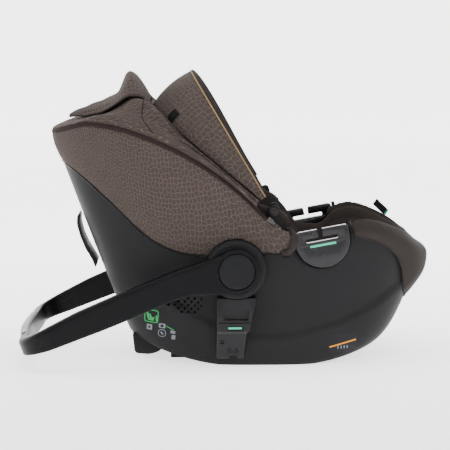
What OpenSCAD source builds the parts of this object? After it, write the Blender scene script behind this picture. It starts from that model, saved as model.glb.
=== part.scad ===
// Infant car seat: a rocking bucket shell with a fabric seat, a swinging carry handle,
// a folding hood, vehicle-belt guides and a five-point harness.
// Millimetres. +X points to the foot end, +Z up, the floor is Z = 0, and the origin lies on the
// floor under the middle of the whole seat. The child's right side is -Y.

/* [Shell] */
// Half width of the shell's rim
rim_half_w = 188; // [184:1:190]
// Rim centre to its foot end
rim_front = 344; // [338:1:348]
// Rim centre to its head end
rim_rear = 308; // [304:1:312]
// Half width of the rocker base
base_half_w = 138; // [132:1:142]
// Base centre to its foot end
base_front = 215; // [210:1:220]
// Base centre to its head end
base_rear = 218; // [214:1:222]
// Thickness of the moulded shell
shell_t = 3.5; // [3:0.5:4]
// Radius of the rocker beyond its flat stretch
rocker_r = 420; // [400:5:450]

/* [Seat] */
// Gap from the shell's rim to the inside of the seat cover
seat_inset = 27; // [26:1:30]
// Half width of the seat floor
seat_half_w = 105; // [100:1:108]
// Thickness of the seat cover
cover_t = 9; // [8:1:10]
// Thickness of the foam liner under it
foam_t = 10; // [8:1:11]

/* [Handle] */
// Height of the handle pivot
hub_z = 176; // [174:1:178]
// Outer radius of the handle hub
hub_r = 39; // [37:1:40]
// Radius of the release button in the hub
button_r = 32; // [30:1:33]
// Travel of the release button
button_travel = 5; // [4:1:5]
// Pivot to the middle of the crossbar
handle_reach = 399; // [398:1:401]
// Half width over the hubs
hub_face = 222; // [221:1:223]
// Angle of the stowed handle below the horizontal
handle_drop = 20.1; // [19.8:0.1:20.4]

/* [Hood] */
// Height of the hood hinge
hood_z = 278; // [276:1:280]
// Radius of the two hood bows
bow_r = 273; // [270:1:275]
// Half width of the bows
bow_half_w = 186; // [184:1:187]
// Angle of the middle bow above the horizontal, towards the head
mid_angle = 141; // [140:1:142]
// Angle of the front bow
front_angle = 121; // [120:1:122]

/* [Belt guides] */
// Width of a belt guide
guide_w = 96; // [94:1:98]
// Height of its belt slot
slot_h = 7; // [6.5:0.5:7.5]

/* [Hidden] */

plastic = "#2b2b2d";
plastic_satin = "#38383c";
soft_black = "#1d1d1f";
jersey = "#5a4d47";
jersey_smooth = "#51463f";
binding = "#3b322f";
mint = "#6fc0a4";
steel = "#9a9ca0";
foam_grey = "#303033";
red = "#b03a30";

gap = 1;               // room left between soft layers
thin = 0.4;            // room left between moulded pieces
rim_cx = 10;
base_cx = 50;
rim_n = 3;
base_n = 2.8;
flat_rear = 40;
flat_front = 110;
hub_x = 20;
hood_x = 85;
ring_steps = 56;

// Height of the shell's rim along the seat
rim_line = [[-300, 386], [-285, 397], [-240, 410], [-200, 409], [-165, 400], [-125, 385], [-80, 364],
    [-40, 340], [0, 312], [30, 288], [60, 262], [90, 242], [120, 236], [215, 240], [240, 246],
    [265, 243], [290, 234], [315, 222], [335, 208], [355, 190]];
// Height of the zip, the upper edge of the outer cover
zip_line = [[-310, 404], [-290, 410], [-240, 424], [-203, 420], [-166, 411], [-126, 397], [-78, 375],
    [-41, 353], [0, 325], [27, 303], [55, 276], [75, 256], [95, 244], [120, 240]];
// Lower edge of the outer cover
cover_line = [[-310, 370], [-276, 355], [-241, 331], [-216, 308], [-191, 286], [-151, 246],
    [-126, 226], [-101, 212], [-74, 203], [-20, 197], [40, 200], [72, 210], [115, 221]];
// Lower edge of the foot cover by its angle round the rim
foot_edge = [[0, 107], [10, 112], [16, 128], [18, 147], [20.5, 170], [24, 194], [28, 212], [32, 223],
    [40, 233]];
// Height of the padded edge inside the shell
seat_rim_line = [[-290, 408], [-240, 426], [-165, 420], [-100, 394], [-40, 358], [0, 330], [45, 294],
    [70, 282], [99, 277], [125, 252], [140, 228], [195, 226], [210, 242], [240, 252], [265, 250], [290, 241],
    [325, 224]];
// Height of the seat's floor and backrest along its middle
seat_line = [[-280, 424], [-160, 240], [-100, 176], [-40, 125], [20, 97], [80, 89], [140, 100],
    [190, 124], [240, 156]];

function at(x, line) = (lookup(x - 10, line) + 2 * lookup(x, line) + lookup(x + 10, line)) / 4;
function rocker(x) = let (d = max(flat_rear - x, x - flat_front, 0)) d * d / (2 * rocker_r);
// Point of an egg-shaped plan curve at a polar angle, with its own reach to foot and head
function oval(w, cx, front, rear, half, n) =
    let (a = cos(w) >= 0 ? front : rear,
         r = pow(pow(abs(cos(w)) / a, n) + pow(abs(sin(w)) / half, n), -1 / n))
    [cx + r * cos(w), r * sin(w)];
function fold(w) = abs(w) > 180 ? 360 - abs(w) : abs(w);
function mix(a, b, k) = a + (b - a) * k;

// Point of the shell's wall, inset by t: v runs from the base to the rim
function shell_pt(w, v, t = 0) =
    let (b = oval(w, base_cx, base_front - t, base_rear - t, base_half_w - t, base_n),
         r = oval(w, rim_cx, rim_front - t, rim_rear - t, rim_half_w - t, rim_n),
         p = lookup(fold(w), [[0, 0.5], [40, 0.55], [90, 0.6], [140, 0.8], [180, 1]]),
         low = rocker(b.x) + t, high = at(r.x, rim_line),
         k = v < 0 ? 0 : pow(v, p))
    [mix(b.x, r.x, k), mix(b.y, r.y, k), mix(low, high, v)];
// Value of v at which the wall meets a line of heights
function v_at(w, line, t, v = 0.8, turns = 9) =
    turns == 0 ? v :
    let (x = shell_pt(w, v, t).x, low = shell_pt(w, 0, t).z, high = shell_pt(w, 1, t).z)
    v_at(w, line, t, (at(x, line) - low) / (high - low), turns - 1);
function v_of_z(w, z, t) =
    let (low = shell_pt(w, 0, t).z, high = shell_pt(w, 1, t).z) (z - low) / (high - low);
// Point of the seat's hollow, moved outwards by t
function seat_pt(w, v, t = 0) =
    let (b = oval(w, 35, 190 + t, 190 + t, seat_half_w + t, 2.5),
         r = oval(w, rim_cx, rim_front - seat_inset + t, rim_rear - seat_inset + t,
                  rim_half_w - seat_inset + t, rim_n),
         p = lookup(fold(w), [[0, 0.8], [60, 0.5], [120, 0.5], [150, 0.8], [180, 1]]),
         low = at(b.x, seat_line) - t, high = at(r.x, seat_rim_line),
         k = pow(v, p))
    [mix(b.x, r.x, k), mix(b.y, r.y, k), mix(low, high, v)];
function seat_floor(w, s, t) =
    let (b = oval(w, 35, (190 + t) * s, (190 + t) * s, (seat_half_w + t) * s, 2.5))
    [b.x, b.y, at(b.x, seat_line) - t];
function shell_floor(w, s, t) =
    let (b = oval(w, base_cx, (base_front - t) * s, (base_rear - t) * s, (base_half_w - t) * s, base_n))
    [b.x, b.y, rocker(b.x) + t];
function arc(from, to, steps) = [for (i = [0 : steps]) mix(from, to, i / steps)];
function around(steps) = [for (i = [0 : steps - 1]) i * 360 / steps];

function quad(a, b, c, d) = [[a, b, c], [a, c, d]];
// Closed solid between two grids of points, outer and inner. wrap joins the last column to the
// first, and caps are the two middle points that close the bottom of a bowl.
module skin(outer, inner, wrap = false, caps = []) {
    n = len(outer);
    m = len(outer[0]);
    last = wrap ? n - 1 : n - 2;
    top = m - 1;
    points = concat([for (g = [outer, inner]) each [for (col = g) each col]], caps);
    function id(s, i, j) = (s * n + i % n) * m + j;
    c0 = 2 * n * m;
    polyhedron(points, concat(
        [for (i = [0 : last], j = [0 : m - 2]) each
            quad(id(0, i, j), id(0, i, j + 1), id(0, i + 1, j + 1), id(0, i + 1, j))],
        [for (i = [0 : last], j = [0 : m - 2]) each
            quad(id(1, i, j), id(1, i + 1, j), id(1, i + 1, j + 1), id(1, i, j + 1))],
        [for (i = [0 : last]) each
            quad(id(0, i, top), id(1, i, top), id(1, i + 1, top), id(0, i + 1, top))],
        caps == [] ? [for (i = [0 : last]) each
            quad(id(0, i, 0), id(0, i + 1, 0), id(1, i + 1, 0), id(1, i, 0))]
        : [for (i = [0 : last]) each [[c0, id(0, i, 0), id(0, i + 1, 0)],
            [c0 + 1, id(1, i + 1, 0), id(1, i, 0)]]],
        wrap ? [] : [for (j = [0 : m - 2]) each concat(
            quad(id(0, 0, j), id(1, 0, j), id(1, 0, j + 1), id(0, 0, j + 1)),
            quad(id(0, n - 1, j), id(0, n - 1, j + 1), id(1, n - 1, j + 1), id(1, n - 1, j)))]));
}
// Solid swept through a list of rings, each a closed outline of points
module loft(rings) {
    n = len(rings);
    m = len(rings[0]);
    function id(i, j) = i * m + j % m;
    polyhedron([for (r = rings) each r], concat(
        [for (i = [0 : n - 2], j = [0 : m - 1]) each
            quad(id(i, j), id(i, j + 1), id(i + 1, j + 1), id(i + 1, j))],
        [[for (j = [m - 1 : -1 : 0]) id(0, j)]],
        [[for (j = [0 : m - 1]) id(n - 1, j)]]));
}
// Copies a child-right piece to the child's left
module to_left() { mirror([0, 1, 0]) children(); }
// Cylinder along Y between two distances from the middle, on the right side
module side_disc(x, z, r, y0, y1) {
    translate([x, -y0, z]) rotate([90, 0, 0]) cylinder(r = r, h = y1 - y0, $fn = 96);
}
// Flat outline in X and Z made solid between two distances from the middle, on the right side
module side_plate(y0, y1) {
    translate([0, -y0, 0]) rotate([90, 0, 0]) linear_extrude(y1 - y0) children();
}
module round_rect(x0, x1, y0, y1, r) {
    translate([x0 + r, y0]) square([x1 - x0 - 2 * r, y1 - y0]);
    translate([x0, y0 + r]) square([x1 - x0, y1 - y0 - 2 * r]);
    for (x = [x0 + r, x1 - r], y = [y0 + r, y1 - r]) translate([x, y]) circle(r = r, $fn = 48);
}

// ---- Shell and base ----
guide_x = 165;
guide_top = 247;
guide_tilt = 10.5;
guide_r = guide_w / 2;
coupler_x = [-95, 115];
coupler_half = 70;
coupler_h = 24;
vent_w = 86;
vent_h = 34;

module guide_outline(grow) {
    translate([guide_x, guide_top]) rotate(guide_tilt) {
        intersection() {
            translate([0, -20]) circle(r = guide_r + grow, $fn = 96);
            translate([-guide_w, -20 - guide_w]) square([2 * guide_w, guide_w + 20]);
        }
        translate([-guide_r - grow, -20.1]) square([guide_w + 2 * grow, 20.1 + grow]);
    }
}
module guide_pocket(grow) {
    side_plate(172, 205) intersection() {
        union() {
            guide_outline(grow);
            translate([guide_x - guide_r, guide_top]) square([guide_w, 40]);
        }
        translate([guide_x - 70, 170]) square([140, 140]);
    }
}
function shell_grid(t, top_v) = [for (w = around(ring_steps))
    concat([for (s = [0.35, 0.7]) shell_floor(w, s, t)],
           [for (v = [0, 0.04, 0.12, 0.24, 0.4, 0.58, 0.78, 1]) shell_pt(w, v * top_v, t)])];
// Places a piece on the slanted back of the shell, where the release lever sits
module on_back() { translate([-268, 0, 313]) rotate([0, -24, 0]) children(); }
// Places a flat piece on the curved side wall under the handle
module on_vent() { translate([-71, -153.5, 109]) rotate([9, 0, -12]) children(); }
module shell() color(plastic) difference() {
    skin(shell_grid(0, 1), shell_grid(shell_t, 1), wrap = true,
         caps = [[base_cx, 0, 0], [base_cx, 0, shell_t]]);
    for (side = [0, 1]) mirror([0, side, 0]) {
        guide_pocket(thin);
        side_disc(hub_x, hub_z, 52 + thin, 140, 200);
        on_vent() cube([vent_w + 2 * thin, 30, vent_h + 2 * thin], center = true);
    }
    translate([coupler_x[0] - thin, -coupler_half - thin, -5])
        cube([coupler_x[1] - coupler_x[0] + 2 * thin, 2 * (coupler_half + thin), 45]);
    on_back() translate([-4, 0, 0]) cube([50, 100 + 2 * thin, 46 + 2 * thin], center = true);
}
module rear_foot() color(plastic) translate([0, 80, 0]) rotate([90, 0, 0]) linear_extrude(160)
    polygon([[-164, 48], [-160, 14], [-156, 10], [-134, 8], [-118, 12], [-106, 22], [-130, 33.5],
             [-150, 42]]);
bar_z = 11;
bar_r = 4;
bar_x = [-70, 90];
bar_half = 58;
module base_coupler() color(plastic) difference() {
    translate([coupler_x[0], -coupler_half, 0])
        cube([coupler_x[1] - coupler_x[0], 2 * coupler_half, coupler_h]);
    for (x = bar_x) {
        translate([x - 12, -50, -1]) cube([24, 100, 20]);
        translate([x, bar_half + thin, bar_z]) rotate([90, 0, 0])
            cylinder(r = bar_r + 0.05, h = 2 * (bar_half + thin), $fn = 64);
    }
    translate([-50, -62, 4]) cube([118, 124, coupler_h]);
}
module base_bar(x) color(steel) translate([x, bar_half, bar_z]) rotate([90, 0, 0])
    cylinder(r = bar_r, h = 2 * bar_half, $fn = 64);
module base_bar_front() base_bar(bar_x[1]);
module base_bar_rear() base_bar(bar_x[0]);
// Blade that holds the vehicle's belt behind the backrest, open at the top
hook_blade = [[-231, 160], [-236, 174], [-249, 196], [-258, 218], [-264, 240], [-263, 256],
    [-259, 256], [-259, 241], [-254, 220], [-245, 199], [-232, 178], [-227, 169]];
module rear_belt_hook() color(plastic) translate([0, 42, 0]) rotate([90, 0, 0])
    linear_extrude(84) polygon(hook_blade);
module release_pocket() color(plastic) on_back() difference() {
    translate([15, 0, 0]) cube([34, 100, 46], center = true);
    translate([12, 0, 0]) cube([34, 94, 40], center = true);
}
module release_lever() color(plastic_satin) on_back() difference() {
    translate([7, 0, -3]) cube([14, 92, 32], center = true);
    translate([5, 0, -2]) cube([14, 78, 16], center = true);
}

// ---- Foam and fabric ----
function seat_grid(t, top_v) = [for (w = around(ring_steps))
    concat([for (s = [0.4, 0.75]) seat_floor(w, s, t)],
           [for (v = [0, 0.06, 0.16, 0.32, 0.52, 0.76, 1]) seat_pt(w, v * top_v, t)])];
module seat_layer(t0, t1, top_v)
    skin(seat_grid(t1, top_v), seat_grid(t0, top_v), wrap = true,
         caps = [[35, 0, at(35, seat_line) - t1], [35, 0, at(35, seat_line) - t0]]);
module foam_liner() color(foam_grey) difference() {
    seat_layer(cover_t + gap, cover_t + gap + foam_t, 0.86);
    on_back() translate([16, 0, 0]) cube([42, 104, 50], center = true);
    for (side = [0, 1]) mirror([0, side, 0]) {
        translate([hood_x - 16, -200, 236]) cube([32, 34, 60]);
        side_disc(hub_x, hub_z, 54, 157, 205);
        side_plate(165, 205) guide_outline(2);
    }
}
module seat_cover() color(jersey_smooth) difference() {
    seat_layer(0, cover_t, 1);
    for (side = [0, 1]) mirror([0, side, 0]) side_plate(160, 205) guide_outline(2);
}
// Section of the foot cover: up the outside of the shell, over its rim and down the inside
function foot_section(w) =
    let (edge = v_of_z(w, lookup(fold(w), foot_edge), 0),
         fat = 20 * pow(cos(w * 1.6), 2),
         out = function (v, t) shell_pt(w, v, -t))
    [out(edge, 1), out(edge, 4), out(mix(edge, 1, 0.3), 4 + 0.45 * fat),
     out(mix(edge, 1, 0.65), 5 + 0.8 * fat), out(1, 5 + 0.55 * fat) + [0, 0, 2],
     shell_pt(w, 1, -2) + [0, 0, 11], shell_pt(w, 1, 10) + [0, 0, 14],
     shell_pt(w, 1, shell_t + 11) + [0, 0, 6], shell_pt(w, 0.97, shell_t + 12),
     shell_pt(w, 0.94, shell_t + 2 * gap), shell_pt(w, 1, shell_t + 2 * gap) + [0, 0, 2 * gap],
     shell_pt(w, 1, -1) + [0, 0, 2 * gap], out(mix(edge, 1, 0.8), 1.2), out(mix(edge, 1, 0.6), 1.4),
     out(mix(edge, 1, 0.4), 1.5), out(mix(edge, 1, 0.2), 1.4)];
module foot_cover() color(jersey) loft([for (w = arc(39, -39, 26)) foot_section(w)]);
cover_from = 61;
module outer_cover() color(jersey) {
    ws = arc(cover_from, 360 - cover_from, 52);
    grid = function (t) [for (w = ws) let (a = v_at(w, cover_line, 0), b = v_at(w, zip_line, 0))
        [for (k = arc(0, 1, 6)) shell_pt(w, mix(a, b, k), t)]];
    difference() {
        skin(grid(-gap - 4), grid(-gap));
        for (side = [0, 1]) mirror([0, side, 0]) {
            side_disc(hub_x, hub_z, 53, 140, 205);
            guide_pocket(2);
        }
    }
}
zip_from = 72;
module zip_tape() color(binding) loft([for (w = arc(360 - zip_from, zip_from, 52))
    let (a = shell_pt(w, v_at(w, zip_line, 0), -gap), b = shell_pt(w, v_at(w, zip_line, 0), -gap - 4))
    [a + [0, 0, 0.6], b + [0, 0, 0.6], b + [0, 0, 7], a + [0, 0, 7]]]);
slider = shell_pt(360 - zip_from + 1.5, v_at(360 - zip_from, zip_line, 0), -gap) + [2, 0, 5];
module zip_slider() color(steel) translate(slider) rotate([0, 40, 0]) {
    translate([0, -6.9, 0]) cube([12, 3, 9], center = true);
    translate([0, -8.3, 0]) rotate([90, 0, 0]) cylinder(r = 1, h = 2.2, $fn = 32);
}
module zip_pull() color(steel) translate(slider + [0, -8.9, 0]) rotate([90, 40, 0])
    linear_extrude(1.4) difference() {
        union() {
            circle(r = 2.6, $fn = 48);
            translate([1.5, -2.2]) square([22, 4.4]);
        }
        circle(r = 1.05, $fn = 48);
    }

// ---- Belt guides, hubs, latches and vents ----
module slot_outline() translate([guide_x, guide_top]) rotate(guide_tilt) {
    translate([0, -17.5]) {
        square([50, slot_h], center = true);
        for (x = [-25, 25]) translate([x, 0]) circle(r = slot_h / 2, $fn = 32);
    }
    translate([-5, -17.5]) square([6.5, 30]);
}
module mark_outline(grow) translate([guide_x, guide_top]) rotate(guide_tilt)
    translate([0, -28]) square([46 + grow, 4 + grow], center = true);
module belt_guide() color(plastic_satin) difference() {
    side_plate(178, 192) guide_outline(0);
    side_plate(170, 200) slot_outline();
    side_plate(191, 193) mark_outline(0.2);
}
module guide_mark() color(mint) side_plate(191, 192) mark_outline(0);
module belt_guide_right() belt_guide();
module belt_guide_left() to_left() belt_guide();
module guide_mark_right() guide_mark();
module guide_mark_left() to_left() guide_mark();

axle_r = 12;
module hub_housing() color(plastic) translate([hub_x, 0, hub_z]) rotate([90, 0, 0])
    rotate_extrude($fn = 96) {
        translate([axle_r + 0.05, 194]) square([52 - axle_r - 0.05, 5]);
        translate([48, 164]) square([4, 31]);
        translate([axle_r + 0.05, 174]) square([6, 21]);
    }
module pivot_axle() color(steel) {
    side_disc(hub_x, hub_z, axle_r, 174, 208);
    side_disc(hub_x, hub_z, 16, 206.9, 209.3);
}
module hub_housing_right() hub_housing();
module hub_housing_left() to_left() hub_housing();
module pivot_axle_right() pivot_axle();
module pivot_axle_left() to_left() pivot_axle();

latch_profile = [[169, 122], [171, 127], [196, 127], [196, 68], [190, 64], [165, 16], [157, 16],
    [160, 50]];
module side_latch() color(plastic_satin) difference() {
    translate([-14, 0, 0]) rotate([90, 0, 90]) linear_extrude(60) mirror([1, 0]) polygon(latch_profile);
    side_plate(192.5, 200) round_rect(-2, 41, 88, 106, 2);
    side_plate(192.5, 200) round_rect(2, 32, 70, 78, 3);
    side_disc(hub_x, hub_z, 52 + thin, 140, 199.5);
    translate([-10, -200, 46]) cube([8, 20, 8]);
    translate([8, -172, 8]) cube([14, 30, 14]);
}
module latch_mark() color(mint) side_plate(192.7, 193.3) round_rect(5, 29, 72.2, 75.8, 1.7);
module side_latch_right() side_latch();
module side_latch_left() to_left() side_latch();
module latch_mark_right() latch_mark();
module latch_mark_left() to_left() latch_mark();

module vent_grille() color(plastic) on_vent() rotate([90, 0, 0]) linear_extrude(3) difference() {
    square([vent_w, vent_h], center = true);
    for (row = [0 : 2], k = [0 : 8 - row])
        translate([10 - vent_w / 2 + k * 8.2 + row * 5, vent_h / 2 - 8 - row * 8.2])
            circle(r = 2.6, $fn = 24);
}
module vent_grille_right() vent_grille();
module vent_grille_left() to_left() vent_grille();

// ---- Hood ----
// Point of a hood bow at an angle round the hinge and an angle along the bow
function bow_pt(angle, r, half, q) =
    let (n = 2.6, reach = r * pow(abs(sin(q)), 2 / n),
         y = -half * sign(cos(q)) * pow(abs(cos(q)), 2 / n))
    [hood_x + reach * cos(angle), y, hood_z + reach * sin(angle)];
function bow_ring(angle, r, half, q, t, w) =
    [for (c = [[-w, 0], [-w, t], [w, t], [w, 0]])
        let (p = bow_pt(angle, r + c.y, half + c.y, q)) p + c.x * [-sin(angle), 0, cos(angle)]];
bow_span = 4;
module bow(angle, r, half, t, w)
    loft([for (q = arc(bow_span, 180 - bow_span, 32)) bow_ring(angle, r, half, q, t, w)]);
module hood_bow_mid() color(soft_black) {
    bow(mid_angle, bow_r - 10, bow_half_w - 10, 4, 5);
    for (side = [1, -1]) hood_leaf(side, mid_angle, bow_half_w - 8);
}
// Eye at the foot of a bow, on the hinge screw
module hood_leaf(side, angle, y) translate([hood_x, side * y, hood_z]) rotate([90, 0, 0])
    difference() {
        union() {
            cylinder(r = 9, h = 3, center = true, $fn = 64);
            rotate(angle) translate([0, -5, -1.5]) cube([26, 10, 3]);
        }
        cylinder(r = 3.05, h = 5, center = true, $fn = 64);
    }
module hood_bow_front() color(soft_black) {
    bow(front_angle, bow_r - 5, bow_half_w - 5, 4, 5);
    for (side = [1, -1]) hood_leaf(side, front_angle, bow_half_w - 3);
}
function sheet_grid(a0, a1, r0, r1, half, t, bulge, steps) = [for (q = arc(180 - 6, 6, 30))
    [for (k = arc(0, 1, steps))
        let (s = pow(sin(q), 2), r = mix(r0, r1, k) + bulge * s * sin(180 * k))
        bow_pt(mix(a0, a1, k), r + t, half + t, q)]];
module hood_visor_fabric() color(jersey)
    skin(sheet_grid(mid_angle - 2.5, front_angle, bow_r, bow_r + 1, bow_half_w, 3, 3, 4),
         sheet_grid(mid_angle - 2.5, front_angle, bow_r, bow_r + 1, bow_half_w, 0.3, 3, 4));
// Middle line of the hood's folded rear, from the zip over the loose crest to the middle bow
crest_line = [[-283, 417], [-240, 448], [-197, 466], [-184, 482], [-168, 513], [-152, 503], [-129, 462]];
crest_last = len(crest_line) - 1;
function crest_pt(q, i, t) =
    let (w = 180 - (q - 90) * 1.2, k = i / crest_last,
         low = shell_pt(w, v_at(w, zip_line, 0), -gap - 1.2) + [0, 0, 9.5],
         high = bow_pt(mid_angle + 1.5, bow_r, bow_half_w, q),
         mid = crest_line[i], first = crest_line[0], last = crest_line[crest_last],
         lift = [mid.x, 0, mid.y] - mix([first.x, 0, first.y], [last.x, 0, last.y], k))
    mix(low, high, k) + pow(sin(q), 5) * lift + t * [0, -cos(q), sin(q)];
function crest_grid(t) = [for (q = arc(180 - 6, 6, 34)) [for (i = [0 : crest_last]) crest_pt(q, i, t)]];
module hood_rear_fabric() color(jersey) skin(crest_grid(3), crest_grid(0));
module hood_tab() color(soft_black) translate([-119, -79.5, 462]) rotate([0, 60, 0])
    cube([16, 1.2, 9], center = true);
module hood_bracket() color(plastic_satin) {
    side_disc(hood_x, hood_z, 3, 173, bow_half_w + 1);
    side_plate(171.5, 174.5) {
        translate([hood_x, 290]) circle(r = 14, $fn = 64);
        translate([hood_x - 10, 244]) square([20, 46]);
    }
    translate([hood_x - 8, -182, 244]) cube([16, 9, 8]);
}
module hood_bracket_right() hood_bracket();
module hood_bracket_left() to_left() hood_bracket();

// ---- Carry handle ----
arm_dir = [-cos(handle_drop), 0, -sin(handle_drop)];
arm_up = [-sin(handle_drop), 0, cos(handle_drop)];
function arm_pt(s, h) = [hub_x, hub_z] + s * [arm_dir.x, arm_dir.z] + h * [arm_up.x, arm_up.z];
// Side view of an arm as distances along and across it from the hub
arm_outline = [for (c = [[-6, 39], [30, 35.5], [95, 38], [162, 36], [220, 33], [285, 29], [350, 21],
    [handle_reach + 9, 15], [handle_reach + 10, 10], [handle_reach + 10, -10],
    [handle_reach + 9, -15], [350, -17], [285, -16], [245, -15.5], [200, -13.5], [130, -8.5],
    [88, -10], [60, -20], [30, -31], [-6, -39]]) arm_pt(c[0], c[1])];
button_y = 216;        // inner face of the release button
module handle_frame() color(plastic_satin) difference() {
    union() {
        intersection() {
            rotate([90, 0, 0]) linear_extrude(2 * hub_face, center = true) polygon(arm_outline);
            translate([0, 0, -10]) linear_extrude(300) difference() {
                round_rect(-375, 60, -hub_face, hub_face, 62);
                round_rect(hub_x - (handle_reach - 9) * cos(handle_drop), 100, -201, 201, 46);
            }
        }
        for (side = [0, 1]) mirror([0, side, 0]) side_disc(hub_x, hub_z, hub_r, 200.3, hub_face);
    }
    for (side = [0, 1]) mirror([0, side, 0]) {
        side_disc(hub_x, hub_z, button_r + thin, button_y - button_travel - 4.5, hub_face + 1);
        side_disc(hub_x, hub_z, axle_r + 0.05, 199, 207);
    }
}
grip_mid = arm_pt(handle_reach - 2, 19);
module handle_grip() color(soft_black) translate([grip_mid.x, 0, grip_mid.y])
    rotate([0, -handle_drop - 6, 0]) cube([12, 200, 2], center = true);
module handle_button() color(plastic_satin) side_disc(hub_x, hub_z, button_r, button_y, hub_face);
module handle_button_right() handle_button();
module handle_button_left() to_left() handle_button();

// ---- Child's padding and harness ----
// Point above the backrest and seat floor at distance d from its surface
function back_pt(x, y, d) = [x, y, at(x, seat_line) + 0.004 * y * y + d];
module back_sheet(xs, y0, y1, d0, d1, cols = 6)
    skin([for (y = arc(y0, y1, cols)) [for (x = xs) back_pt(x, y, d0)]],
         [for (y = arc(y0, y1, cols)) [for (x = xs) back_pt(x, y, d1)]]);
module newborn_insert() color(jersey_smooth) back_sheet(arc(95, -105, 10), -72, 72, 6, 17, 8);
module headrest() color(jersey) back_sheet(arc(-112, -222, 8), -88, 88, 14, 36, 8);
module shoulder_strap() color(soft_black) back_sheet(arc(26, -108, 10), -58, -34, 19.5, 21.5, 2);
module shoulder_strap_right() shoulder_strap();
module shoulder_strap_left() to_left() shoulder_strap();
module shoulder_pad() color(jersey) back_sheet(arc(8, -100, 8), -66, -26, 23, 33, 4);
module shoulder_pad_right() shoulder_pad();
module shoulder_pad_left() to_left() shoulder_pad();
module crotch_strap() color(soft_black) back_sheet(arc(122, 78, 4), -14, 14, 19.5, 21.5, 2);
module crotch_pad() color(jersey) back_sheet(arc(120, 70, 5), -30, 30, 23, 33, 4);
buckle_x = 42;
buckle_z = 132;
module buckle_body() color(plastic) difference() {
    translate([buckle_x, 0, buckle_z]) cube([44, 50, 20], center = true);
    translate([buckle_x, 0, buckle_z + 4]) cube([18.6, 24.6, 16], center = true);
}
module buckle_button() color(red) translate([buckle_x, 0, buckle_z + 6])
    cube([18, 24, 9], center = true);
module buckle_tongues() color(steel) for (side = [1, -1])
    translate([buckle_x, side * 36, buckle_z]) cube([24, 20, 3], center = true);
adjuster_x = 190;
adjuster_z = 150;
module adjuster_housing() color(plastic) difference() {
    translate([adjuster_x, 0, adjuster_z]) cube([46, 40, 12], center = true);
    translate([adjuster_x, 0, adjuster_z + 4]) cube([24.8, 22.8, 12], center = true);
}
module adjuster_button() color(steel) translate([adjuster_x, 0, adjuster_z + 5])
    cube([24, 22, 6], center = true);
module adjuster_strap() color(soft_black) translate([adjuster_x, 0, 0])
    skin([for (y = [-12, 12]) [for (x = [46, 26]) [x, y, at(adjuster_x + x, seat_line) + 3]]],
         [for (y = [-12, 12]) [for (x = [46, 26]) [x, y, at(adjuster_x + x, seat_line) + 5]]]);
module foot_tag() color(soft_black) translate([305, 139, 251]) rotate([0, 38, -38])
    cube([34, 1.2, 14], center = true);

shell();
rear_foot();
base_coupler();
base_bar_front();
base_bar_rear();
rear_belt_hook();
foam_liner();
seat_cover();
foot_cover();
outer_cover();
zip_tape();
zip_slider();
zip_pull();
belt_guide_right();
belt_guide_left();
guide_mark_right();
guide_mark_left();
hub_housing_right();
hub_housing_left();
pivot_axle_right();
pivot_axle_left();
side_latch_right();
side_latch_left();
latch_mark_right();
latch_mark_left();
vent_grille_right();
vent_grille_left();
hood_bracket_right();
hood_bracket_left();
hood_rear_fabric();
hood_bow_mid();
hood_visor_fabric();
hood_bow_front();
hood_tab();
handle_frame();
handle_grip();
handle_button_right();
handle_button_left();
headrest();
newborn_insert();
shoulder_strap_right();
shoulder_strap_left();
shoulder_pad_right();
shoulder_pad_left();
crotch_strap();
crotch_pad();
buckle_body();
buckle_tongues();
buckle_button();
adjuster_housing();
adjuster_button();
adjuster_strap();
release_pocket();
release_lever();
foot_tag();
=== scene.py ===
import math

import bmesh
import bpy
import numpy as np
from mathutils import Matrix, Vector


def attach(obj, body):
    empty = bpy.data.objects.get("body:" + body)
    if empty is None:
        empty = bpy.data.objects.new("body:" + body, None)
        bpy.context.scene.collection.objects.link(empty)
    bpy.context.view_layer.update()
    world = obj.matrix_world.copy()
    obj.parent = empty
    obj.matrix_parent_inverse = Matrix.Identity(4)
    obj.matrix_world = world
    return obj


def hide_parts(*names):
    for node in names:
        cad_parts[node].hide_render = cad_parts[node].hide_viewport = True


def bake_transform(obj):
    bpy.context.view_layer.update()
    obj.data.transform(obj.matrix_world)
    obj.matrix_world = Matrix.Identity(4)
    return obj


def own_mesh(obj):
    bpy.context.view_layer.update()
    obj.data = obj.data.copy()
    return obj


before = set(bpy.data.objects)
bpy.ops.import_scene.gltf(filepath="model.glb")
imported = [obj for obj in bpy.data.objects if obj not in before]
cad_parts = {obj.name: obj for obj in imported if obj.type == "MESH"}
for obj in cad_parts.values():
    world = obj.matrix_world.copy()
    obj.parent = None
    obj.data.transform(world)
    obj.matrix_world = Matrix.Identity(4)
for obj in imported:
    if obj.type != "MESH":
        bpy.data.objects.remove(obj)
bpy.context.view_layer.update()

# ---- Camera -------------------------------------------------------------------------------
# A long lens a little above the seat, square to its right side, so both rims and the far belt
# guide show over the near one.
camera_place = (-0.075, -3.369, 0.6093)
camera_yaw = math.radians(1.352)
camera_pitch = math.radians(6.374)
camera_data = bpy.data.cameras.new("studio_camera")
camera_data.lens = 148.2
camera_data.sensor_width = 36
camera = bpy.data.objects.new("studio_camera", camera_data)
camera.location = camera_place
camera.rotation_euler = (math.pi / 2 - camera_pitch, 0, -camera_yaw)
bpy.context.scene.collection.objects.link(camera)
bpy.context.scene.camera = camera


# ---- Studio floor and light ---------------------------------------------------------------
# White seamless paper, swept up all round, that itself glows as painted light: faint in front of the
# seat and bright behind it. It lies under a wide overhead softbox in a dim white room. The softbox
# gives the plastics their long top highlights.
def linear(code):
    """sRGB hex to linear RGBA."""
    parts = [int(code[i:i + 2], 16) / 255 for i in (1, 3, 5)]
    return tuple(c / 12.92 if c <= 0.04045 else ((c + 0.055) / 1.055) ** 2.4 for c in parts) + (1,)


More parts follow.
